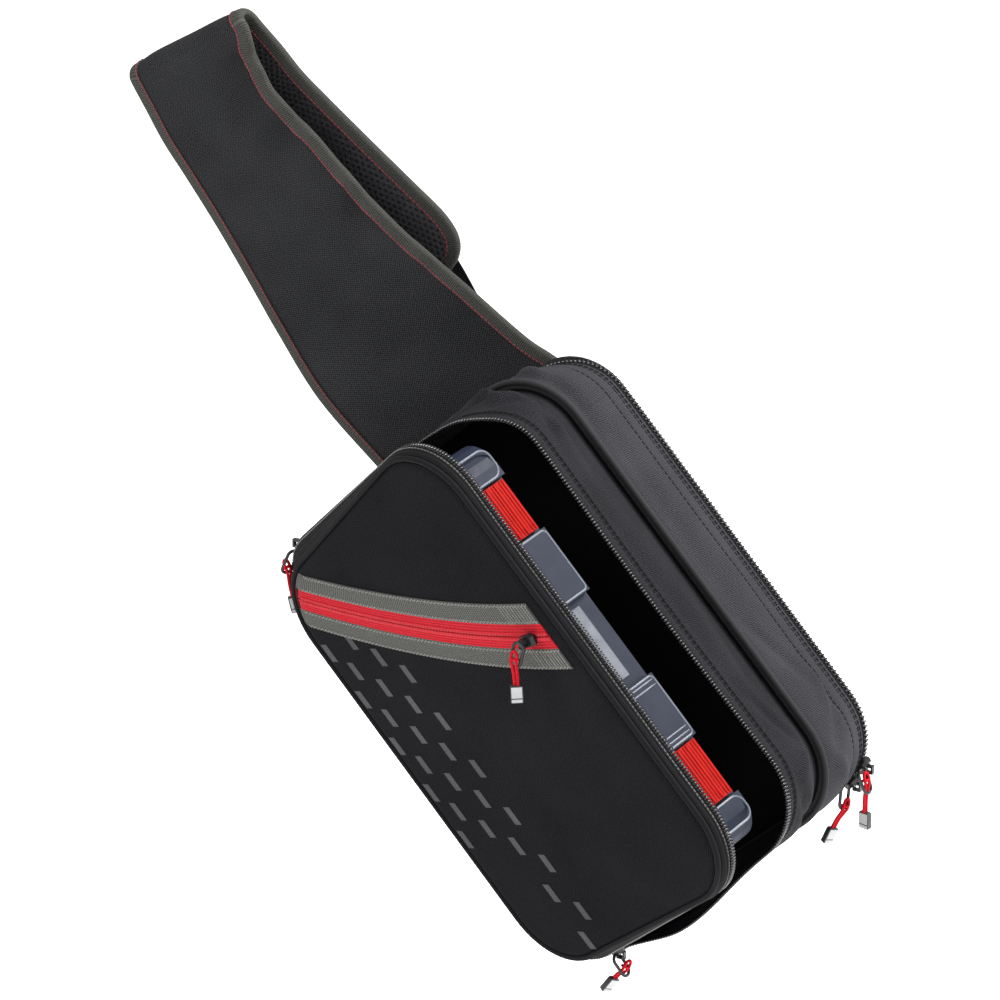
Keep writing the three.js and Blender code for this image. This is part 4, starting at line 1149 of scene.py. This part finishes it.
# Ridges at both ends of the lower block; their pale colour is a painted highlight on them
ridges = [
    (BOX_RIGHT + 0.1, (BOX_FRONT + BOX_BACK) / 2, BOX_TOP - share * BOX_LENGTH)
    for share in (0.622, 0.634, 0.74, 0.752)
]
add_bits("box_ridges", GRAIN, ridges, ACROSS, (1.0, 0, 0), (40, 1.3, 1.3), CLEAR_PAINTED_HIGHLIGHT,
         "clear_plastic", DOOR)

# A lip and a rail on the floor of the finger recess; the lip's pale colour is a painted highlight.
# Profile rows are the height above that floor and the distance behind the box's front.
recess_high, recess_low = (BOX_TOP - share * BOX_LENGTH for share in RECESS)
for name, material, low, high, profile in (
    ("box_finger_lip", CLEAR_PAINTED_HIGHLIGHT, recess_low, recess_high, [
        (-0.2, 0.4), (BOX_NOTCH - 0.6, 0.4), (BOX_NOTCH - 0.6, 2.2), (1.2, 9), (-0.2, 15)]),
    ("box_recess_rail", CLEAR_HAZE, recess_low + 5, recess_high - 3, [
        (-0.2, 19), (0.7, 21), (0.7, 33.5), (-0.2, 35.5)]),
):
    lines = [
        [(BOX_RIGHT - BOX_NOTCH + up, BOX_FRONT + back, z) for z in np.linspace(low, high, 14)]
        for up, back in profile
    ]
    add_grid(name, lines, material, "clear_plastic", DOOR, wrap_rows=True, capped=True)


# Strap

# The pad's edges, as shares of its width, at shares of its rise in front and drop behind
FRONT_ROWS = [
    {"up": -0.042, "left": -0.474, "right": 0.515},
    {"up": 0, "left": -0.488, "right": 0.481},
    {"up": 0.064, "left": -0.51, "right": 0.43},
    {"up": 0.238, "left": -0.542, "right": 0.344},
    {"up": 0.4, "left": -0.507, "right": 0.263},
    {"up": 0.52, "left": -0.469, "right": 0.228},
    {"up": 0.65, "left": -0.43, "right": 0.209},
    {"up": 0.778, "left": -0.401, "right": 0.177},
    {"up": 0.86, "left": -0.385, "right": 0.19},
    {"up": 0.936, "left": -0.355, "right": 0.22},
    {"up": 1, "left": -0.33, "right": 0.27},
]
REAR_ROWS = [
    {"down": 0.12, "left": -0.5, "right": 0.41},
    {"down": 0.3, "left": -0.49, "right": 0.394},
    {"down": 0.54, "left": -0.436, "right": 0.445},
    {"down": 0.74, "left": -0.383, "right": 0.498},
    {"down": 0.88, "left": -0.33, "right": 0.528},
    {"down": 0.96, "left": -0.25, "right": 0.47},
    {"down": 1, "left": -0.12, "right": 0.3},
]


def strap_side():
    """The pad's middle line as y, z and its left and right edges, bottom to fold to end."""
    line = [
        (STRAP_Y - STRAP_LEAN_IN * row["up"] ** 2, STRAP_FOOT + STRAP_RISE * row["up"],
         row["left"] * STRAP_BASE, row["right"] * STRAP_BASE)
        for row in FRONT_ROWS
    ]
    last, first = line[-1], REAR_ROWS[0]
    for k in range(1, 7):
        angle, share = math.pi * (1 - k / 6), k / 6
        line.append((
            FOLD_Y + FOLD_RADIUS * math.cos(angle), FOLD_Z + FOLD_RADIUS * math.sin(angle),
            last[2] + (first["left"] * STRAP_TOP - last[2]) * share,
            last[3] + (first["right"] * STRAP_TOP - last[3]) * share,
        ))
    for row in REAR_ROWS:
        line.append((
            FOLD_Y + FOLD_RADIUS + STRAP_SPREAD * row["down"], FOLD_Z - STRAP_DROP * row["down"],
            row["left"] * STRAP_TOP, row["right"] * STRAP_TOP,
        ))
    return smoothed(line, 420)


side_line = strap_side()
side_run = running(side_line[:, :2], False)
side_along = unit(np.gradient(side_line[:, :2], axis=0))
STRAP_RUN = side_run[-1]
FOLD_RUN = float(np.interp(FOLD_Z, side_line[:200, 1], side_run[:200]))


def edge_wave(run):
    """The right edge's ripples, which grow towards the fold."""
    grow = np.clip((run - 50) / 130, 0, 1) * np.clip((FOLD_RUN + 10 - run) / 30, 0, 1)
    return grow * (1.3 * np.sin(run / 5.3) + 0.6 * np.sin(run / 3.4 + 1))


def strap_edges(run):
    """x of the pad's left and right edge."""
    left = np.interp(run, side_run, side_line[:, 2])
    right = np.interp(run, side_run, side_line[:, 3])
    return left, right + RIPPLE_OUT * edge_wave(run)


def fold_tilt(x, run):
    """How far the strap's fold drops towards its right end."""
    away = np.abs(run - FOLD_RUN - FOLD_TILT_FLAT)
    near = np.clip((FOLD_TILT_REACH - away) / (FOLD_TILT_REACH - FOLD_TILT_FLAT), 0, 1)
    return FOLD_TILT * (x - STRAP_LEFT_TOP) * near**2 * (3 - 2 * near)


def strap_surface(x, run, lift):
    """A point on the strap: x across, run along its middle line, lift outwards."""
    y = np.interp(run, side_run, side_line[:, 0])
    z = np.interp(run, side_run, side_line[:, 1]) - fold_tilt(x, run)
    ny = -np.interp(run, side_run, side_along[:, 1])
    nz = np.interp(run, side_run, side_along[:, 0])
    over = np.maximum(run - STRAP_RUN, 0)
    y = y + over * side_along[-1, 0]
    z = z + over * side_along[-1, 1]
    _, right = strap_edges(run)
    near = np.exp(-(np.maximum(right - x, 0) / RIPPLE_REACH) ** 2)
    lift = lift + RIPPLE_LIFT * near * edge_wave(run)
    return np.stack([x + STRAP_SHIFT, y + ny * lift, z + nz * lift], -1)


def pad_half(share):
    """Half the pad's thickness across it: full in the middle and pressed at the binding."""
    edge = np.minimum(share, 1 - share)
    swell = STRAP_THICK / 2 + PAD_CROWN - PAD_EDGE
    return PAD_EDGE + swell * (1 - np.exp(-((edge / 0.1) ** 1.4)))


def drape(run, share):
    """How the strap's cloth waves along it, most in its middle."""
    waves = 0.5 * np.sin(run / 41 + share * 2.2) + 0.4 * np.sin(run / 23 - share * 5)
    return waves * 4 * share * (1 - share)


PAD_START = 0.4
pad_runs = np.linspace(PAD_START, STRAP_RUN - PAD_START, 230)
pad_left, pad_right = strap_edges(pad_runs)


def pad_face(shares, sign):
    """Rows of points along the outer face of the pad, or with sign -1 along the inner one."""
    rows = []
    for share in shares:
        x = pad_left + (pad_right - pad_left) * share
        lift = sign * pad_half(share) + drape(pad_runs, share) * (1 if sign > 0 else 0.4)
        rows.append(strap_surface(x, pad_runs, lift))
    return rows


across_shares = 0.5 - 0.5 * np.cos(np.linspace(0, math.pi, 30))
pad_rows = pad_face(across_shares, 1) + pad_face(across_shares[::-1], -1)
strap_pad = add_grid("strap_pad_cover", pad_rows, STRAP_CLOTH, "black_cloth", wrap_rows=True,
                     capped=True, stands_for=["strap_pad"])

# Knitted mesh on the strap's inner side, with rows of small hollows
HOLE_PITCH = 4.2
HOLE_DEEP = 1.4
HOLE_RADIUS = 1.35
HOLE_ROW = HOLE_PITCH * 0.866
MESH_LIFT = 0.75
mesh_runs = np.linspace(6, STRAP_RUN - 7, 400)
mesh_left, mesh_right = strap_edges(mesh_runs)
row_of_holes = np.round(mesh_runs / HOLE_ROW)
row_shift = (row_of_holes % 2) * HOLE_PITCH / 2
dz = mesh_runs - row_of_holes * HOLE_ROW
mesh_rows = []
for share in np.linspace(0.03, 0.97, 84):
    x = mesh_left + (mesh_right - mesh_left) * share
    dx = (x - row_shift + HOLE_PITCH / 2) % HOLE_PITCH - HOLE_PITCH / 2
    hollow = np.exp(-((dx**2 + dz**2) / HOLE_RADIUS**2) ** 1.5)
    lift = 0.4 * drape(mesh_runs, share) - (pad_half(share) + MESH_LIFT - HOLE_DEEP * hollow)
    mesh_rows.append(strap_surface(x, mesh_runs, lift))
add_grid("strap_mesh_lining", mesh_rows, MESH_CLOTH, "black_mesh")

# Binding round the pad's edge, swept along the pad laid flat, with its ends' corners rounded
edge_runs = np.linspace(PAD_START, STRAP_RUN, 260)
left_edge, right_edge = strap_edges(edge_runs)
flat_path = np.vstack([
    np.stack([left_edge, edge_runs], 1),
    np.stack([right_edge, edge_runs], 1)[::-1],
])
for _ in range(3):
    middle = (flat_path[:-1] + flat_path[1:]) / 2
    flat_path = np.vstack([flat_path[:1], middle, flat_path[-1:]])
FLAT_COUNT = 760
flat_run = running(flat_path, False)
even = np.linspace(0, flat_run[-1], FLAT_COUNT)
flat_path = np.stack([np.interp(even, flat_run, flat_path[:, k]) for k in (0, 1)], 1)
flat_way = unit(np.gradient(flat_path, axis=0))
flat_out = np.stack([-flat_way[:, 1], flat_way[:, 0]], 1)


def on_binding(away, lift):
    """A line that runs along the binding at a distance out from the pad's edge."""
    spot = flat_path + flat_out * away
    return strap_surface(spot[:, 0], spot[:, 1], np.broadcast_to(lift, (FLAT_COUNT,)))


# Rows of distance out from the pad's edge and height over its middle
BINDING_SECTION = [
    (-BINDING_IN, 3.05), (-3.2, 3.1), (-1.2, 2.9), (0.8, 2.75), (2.1, 2.1), (BINDING_OUT, 0.7),
    (BINDING_OUT, -0.7), (2.1, -2.1), (0.8, -2.75), (-1.2, -2.9), (-3.2, -3.2),
    (-BINDING_IN, -3.3), (-BINDING_IN, -2.3), (0.6, -1.6), (0.6, 1.6), (-BINDING_IN, 2.1),
]
add_grid("strap_binding_tape", [on_binding(away, lift) for away, lift in BINDING_SECTION],
         BINDING_CLOTH, "grey_binding", wrap_rows=True, capped=True, stands_for=["strap_binding"])
STITCH_IN = -BINDING_IN + 0.7
for name, lift in (("strap_stitch_outer", 3.15), ("strap_stitch_inner", -3.4)):
    path = on_binding(STITCH_IN, lift)
    above = on_binding(STITCH_IN, lift + math.copysign(1, lift))
    centres, along, between = spaced(path, 3.0)
    add_bits(name, STITCH, centres, along, between(above - path), (2.3, 1.05, 0.8), RED_THREAD,
             "red_stitch")

# Webbing from the pad's end to the bag's lower left corner
pad_end = side_line[-1]
pad_before = side_line[-60]
web_top = pad_end[1] + WEB_OVERLAP
web_top_x = STRAP_SHIFT + (pad_end[2] + pad_end[3]) / 2 + WEB_SIDEWAYS
anchor_x = -WIDTH / 2 + CORNER
anchor_z = -LENGTH / 2 + BODY_SLOPES[1] + CORNER / 2
tab_face = BACK_REAR + GAP + TAB_THICK
sewn_slope = (pad_end[0] - pad_before[0]) / (pad_end[1] - pad_before[1])
sewn_lift = STRAP_THICK / 2 + GAP + WEB_THICK / 2 + 1.1
sewn_end = pad_end[1] - 5.2
web_line = [
    (pad_end[0] + sewn_slope * (z - pad_end[1]) + sewn_lift, z) for z in (web_top, sewn_end)
]
web_bottom_y = tab_face + GAP + WEB_THICK / 2
for k in range(1, 8):
    share = k / 7
    bow = WEB_BOW * 4 * share * (1 - share)
    web_line.append((
        web_line[1][0] + (web_bottom_y - web_line[1][0]) * share + bow,
        sewn_end + (anchor_z + WEB_OVERLAP - sewn_end) * share,
    ))
web_line.append((web_bottom_y, anchor_z))
web_line = np.array([
    (web_top_x + (anchor_x - web_top_x) * (web_top - z) / (web_top - anchor_z), y, z)
    for y, z in web_line
])
web_path = smoothed(web_line, 120)
web_across = unit(np.array([web_top - anchor_z, 0, anchor_x - web_top_x]))
web_way = unit(np.gradient(web_path, axis=0))
web_normal = unit(np.cross(web_way, web_across))
WEB_SIDES = 28
web_section = []
for k in range(WEB_SIDES):
    angle = 2 * math.pi * k / WEB_SIDES
    wide = math.copysign(abs(math.cos(angle)) ** 0.35, math.cos(angle))
    thick = math.copysign(abs(math.sin(angle)) ** 0.5, math.sin(angle))
    web_section.append((wide * WEB_WIDTH / 2, thick * WEB_THICK / 2))
add_grid("strap_web", [web_path + web_across * a + web_normal * b for a, b in web_section],
         WEB_CLOTH, "black_webbing", wrap_rows=True, capped=True, stands_for=["strap_webbing"])

SEWN_LENGTH = 24
SEWN_WIDTH = WEB_WIDTH - 8
SEWN_PITCH = 3


def sewn_box(name, centre, way, across, normal):
    """A stitched box with a cross in it, as webbing is sewn down."""
    corners = [
        centre + way * a * SEWN_LENGTH / 2 + across * b * SEWN_WIDTH / 2
        for a, b in ((-1, -1), (1, -1), (1, 1), (-1, 1))
    ]
    lines = [(corners[i], corners[(i + 1) % 4]) for i in range(4)]
    lines += [(corners[0], corners[2]), (corners[1], corners[3])]
    centres, ways = [], []
    for a, b in lines:
        count = max(2, int(np.linalg.norm(b - a) / SEWN_PITCH))
        for k in range(count):
            centres.append(a + (b - a) * (k + 0.5) / count)
            ways.append(b - a)
    add_bits(name, STITCH, centres, ways, normal, (2.2, 0.7, 0.6), GREY_THREAD, "black_webbing")


# The tab that the webbing is sewn to: a sheet whose head is wider than its foot
tab_way = np.array([web_across[2], 0, -web_across[0]])
tab_head, tab_foot = WEB_WIDTH / 2 + 3, WEB_WIDTH / 2 - 6
tab_middle = (tab_head + tab_foot) / 2
tab_across = np.linspace(-1, 1, 9)
tab_edge = np.array(
    [web_across * b * tab_head + tab_way * (WEB_OVERLAP / 2 - TAB_RISE) for b in tab_across]
    + [web_across * tab_middle]
    + [web_across * b * tab_foot + tab_way * WEB_OVERLAP / 4 for b in tab_across[::-1]]
    + [-web_across * tab_middle]
)
tab = np.array([
    np.array([anchor_x, y, anchor_z]) + tab_edge * shrink
    for y, shrink in ((BACK_REAR + 0.2, 1), (tab_face - 0.4, 1), (tab_face, 0.97))
])
tab_faces = ring_stack(*tab.shape[:2])
add_mesh("anchor_patch", placed(tab, BAG), tab_faces, DOOR_CLOTH, "black_cloth",
         uvs=flat_uvs(tab, tab_faces), stands_for=["anchor_tab"])
anchor_spot = np.array([anchor_x, web_bottom_y + 1.0, anchor_z]) + tab_way * ANCHOR_SEWN
sewn_box("anchor_stitches", anchor_spot, tab_way, web_across, ACROSS)
sewn_box("web_stitches", (web_path[2] + web_path[10]) / 2 + web_normal[6], web_way[6], web_across,
         web_normal[6])


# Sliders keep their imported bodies. Each pull is a ring, a looped cord and a tag, which swing
# in the picture's plane as the cloth beside them lets them. Swings are degrees, to the right
# when positive, hook is how far down the ring the cord lies, tail is the cord's drop, and face
# is how far the tag is turned from the picture's plane. Lengths are millimetres.

PULLS = {
    "top": {"ring": -24, "cord": 13, "hook": 0.8, "tail": 19, "shift": (-1, -5, 13), "face": 10},
    "bottom": {"ring": 34, "cord": -38, "hook": 0.6, "tail": 10, "shift": (-4, -1, 0), "face": 50},
    "rear_a": {"ring": 24, "cord": 2, "hook": 0.5, "tail": 21, "shift": (-6, -1, 4), "face": -45},
    "rear_b": {"ring": -4, "cord": -24, "hook": 0.9, "tail": 16, "shift": (-7.5, 1, 4), "face": 45},
    "pocket": {"ring": -14, "cord": 3, "hook": 0.72, "tail": 16, "shift": (-2, 0, 2), "face": 0},
}
PULL_LEVEL = (0.3, 0.95, 0.0)
POCKET_PULL_LEVEL = (0.97, 0.1, 0.0)
CAMERA_BACK = Vector((0.4677, -0.7968, 0.3826))
CAMERA_RIGHT = Vector((0.8624, 0.5062, 0.0))
CAMERA_UP = Vector((-0.1936, 0.3300, 0.9239))
RING_WIRE = 1.05
RING_SIZE = (9, 18)
CORD = 1.0
TAG = (7.4, 3.6, 11)
# The part's own frame, for points that are given in it
PART = Matrix.Identity(4)


def rounded_loop(width, height, radius, steps=7):
    """Points round a rectangle with round corners."""
    points = []
    for i, (a, b) in enumerate(((1, 1), (-1, 1), (-1, -1), (1, -1))):
        for k in range(steps):
            angle = math.radians(90) * (i + k / (steps - 1))
            points.append((
                a * (width / 2 - radius) + radius * math.cos(angle),
                b * (height / 2 - radius) + radius * math.sin(angle),
            ))
    return np.array(points)


class Hanging:
    """A small frame that hangs from a point and is swung in the picture's plane."""

    def __init__(self, origin, level, swing):
        turn = np.array(Matrix.Rotation(math.radians(swing), 3, CAMERA_BACK))
        self.origin = np.array(origin, float)
        self.level = turn @ np.array(level, float)
        self.up = turn @ np.array([0.0, 0.0, 1.0])
        self.out = np.cross(self.level, self.up)
        if self.out @ np.array(CAMERA_BACK) < 0:
            self.out = -self.out

    def at(self, a, b, c=0.0):
        return self.origin + self.level * a + self.up * b + self.out * c


def pull_ring(name, hang):
    ring = rounded_loop(RING_SIZE[0] - 2 * RING_WIRE, RING_SIZE[1] - 2 * RING_WIRE, 3.5)
    path = [hang.at(a, b - RING_SIZE[1] / 2 + RING_WIRE) for a, b in ring]
    add_grid(f"pull_ring_{name}", tube_points(path, RING_WIRE, 10, closed=True), GUNMETAL,
             "gunmetal", PART, wrap_rows=True, wrap_cols=True, stands_for=[f"pull_{name}"])


def pull_loop(name, hang, tail):
    """The doubled cord: a larks-head round the ring's wire and two legs down to the tag."""
    legs = [
        (1.05, -tail, 0.0), (1.1, -tail * 0.55, 0.3), (1.35, -2.6, 1.6), (1.7, 0.4, 2.0),
        (1.9, 3.2, 1.3), (1.4, 5.6, 0.6),
    ]
    loop = [(-a, b, c) for a, b, c in legs] + [(0, 6.6, 0.4)] + legs[::-1]
    cord = np.array([hang.at(*spot) for spot in smoothed(loop, 60)])
    add_grid(f"pull_loop_{name}", tube_points(cord, CORD, 9), CORD_CLOTH, "red_cord", PART,
             wrap_rows=True, capped=True, stands_for=[f"pull_cord_{name}"])
    turns = np.linspace(0, 2 * math.pi, 22, endpoint=False)
    hitch = [
        hang.at(2.2 * math.cos(a), 1.6 + 0.6 * math.sin(a), 0.7 + 1.7 * math.sin(a)) for a in turns
    ]
    add_grid(f"pull_hitch_{name}", tube_points(hitch, CORD * 0.85, 8, closed=True), CORD_CLOTH,
             "red_cord", PART, wrap_rows=True, wrap_cols=True)


def pull_tag(name, hang, tail):
    width, depth, height = TAG
    middle = -tail - height / 2 + 1
    layers = []
    for share, shrink in ((-0.5, 0.86), (-0.42, 1), (0.42, 1), (0.5, 0.86)):
        flat = rounded_loop(width * shrink, height * shrink, 0.9 * shrink, 4)
        layers.append([hang.at(a, middle + b, share * depth) for a, b in flat])
    add_mesh(f"pull_tag_body_{name}", placed(layers, PART), ring_stack(len(layers), len(layers[0])),
             TAG_BLACK, "black_plastic", stands_for=[f"pull_tag_{name}"])
    plates = [
        hang.at(a * width, middle + b * height, side * lift * depth)
        for side in (1, -1)
        for low, high in ((-0.44, -0.26), (-0.19, 0.44))
        for lift in (0.45, 0.57)
        for a, b in ((-0.42, low), (0.42, low), (0.42, high), (-0.42, high))
    ]
    add_mesh(f"pull_tag_face_{name}", placed(plates, PART), box_faces(4), TAG_PALE, "tag_plastic")


def add_pull(name, pose):
    dress(f"slider_{name}", GUNMETAL, 0.45, 30)
    low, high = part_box(f"pull_{name}")
    right, up, back = pose["shift"]
    shift = right * CAMERA_RIGHT + up * CAMERA_UP + back * CAMERA_BACK
    top = Vector(((low.x + high.x) / 2, (low.y + high.y) / 2, high.z)) / MM + shift
    level = unit(np.array(POCKET_PULL_LEVEL if name == "pocket" else PULL_LEVEL))
    ring = Hanging(top, level, pose["ring"])
    pull_ring(name, ring)
    hook = ring.at(0, -pose["hook"] * (RING_SIZE[1] - RING_WIRE))
    pull_loop(name, Hanging(hook, level, pose["cord"]), pose["tail"])
    face = np.array(Matrix.Rotation(math.radians(pose["face"]), 3, "Z")) @ np.array(CAMERA_RIGHT)
    pull_tag(name, Hanging(hook, face, pose["cord"]), pose["tail"])


for pull_name, pull_pose in PULLS.items():
    add_pull(pull_name, pull_pose)


# Camera, floor and light

CAMERA_DISTANCE = 2.6
AIM_LEFT = 0.023
AIM_UP = 0.1116
aim = Vector(placed([[0, 0, 0]], BAG)[0]) - AIM_LEFT * CAMERA_RIGHT + AIM_UP * CAMERA_UP

camera_data = bpy.data.cameras.new("camera")
camera_data.lens = 155.8
camera_data.sensor_width = 36
camera = linked("camera", camera_data)
axes = Matrix((CAMERA_RIGHT, CAMERA_UP, CAMERA_BACK)).transposed().to_4x4()
camera.matrix_world = Matrix.Translation(aim + CAMERA_DISTANCE * CAMERA_BACK) @ axes
bpy.context.scene.camera = camera

FLOOR_REACH = 12.0
FLOOR_DROP = 0.12
floor_z = cad_bounds[0][2] - FLOOR_DROP
floor_corners = [
    (x * FLOOR_REACH, y * FLOOR_REACH, floor_z) for x, y in ((-1, -1), (1, -1), (1, 1), (-1, 1))
]
floor_mesh = bpy.data.meshes.new("floor")
floor_mesh.from_pydata(floor_corners, [], [[0, 1, 2, 3]])
floor = linked("floor", floor_mesh)
floor_look = Look("floor_paint", Roughness=0.9)
floor_shade = floor_look.noise(floor_look.place(), 900)
floor_look.feed("Base Color", floor_look.mix(floor_shade, (0.9, 0.9, 0.9), (0.93, 0.93, 0.93)))
floor_look.surface.inputs["Emission Color"].default_value = (1, 1, 1, 1)
floor_look.surface.inputs["Emission Strength"].default_value = 0.45
floor_mesh.materials.append(floor_look.material)

LIGHTS = [
    {"name": "key", "at": (-1.4, -1.5, 1.7), "size": 1.2, "power": 34},
    {"name": "fill", "at": (2.2, -1.3, 0.5), "size": 1.6, "power": 10},
    {"name": "top", "at": (0.9, 0.7, 1.9), "size": 0.9, "power": 70},
    {"name": "rim", "at": (2.0, 1.2, 0.9), "size": 1.0, "power": 30},
]
middle = (Vector(cad_bounds[0]) + Vector(cad_bounds[1])) / 2
for spec in LIGHTS:
    data = bpy.data.lights.new(spec["name"], "AREA")
    data.size = spec["size"]
    data.energy = spec["power"]
    lamp = linked(spec["name"], data)
    lamp.location = middle + Vector(spec["at"])
    lamp.rotation_mode = "QUATERNION"
    lamp.rotation_quaternion = (middle - lamp.location).to_track_quat("-Z", "Y")

world = bpy.data.worlds.new("studio")
world.use_nodes = True
background = world.node_tree.nodes["Background"]
background.inputs["Color"].default_value = (1, 1, 1, 1)
background.inputs["Strength"].default_value = 0.62
bpy.context.scene.world = world
bpy.context.scene.view_settings.view_transform = "Standard"
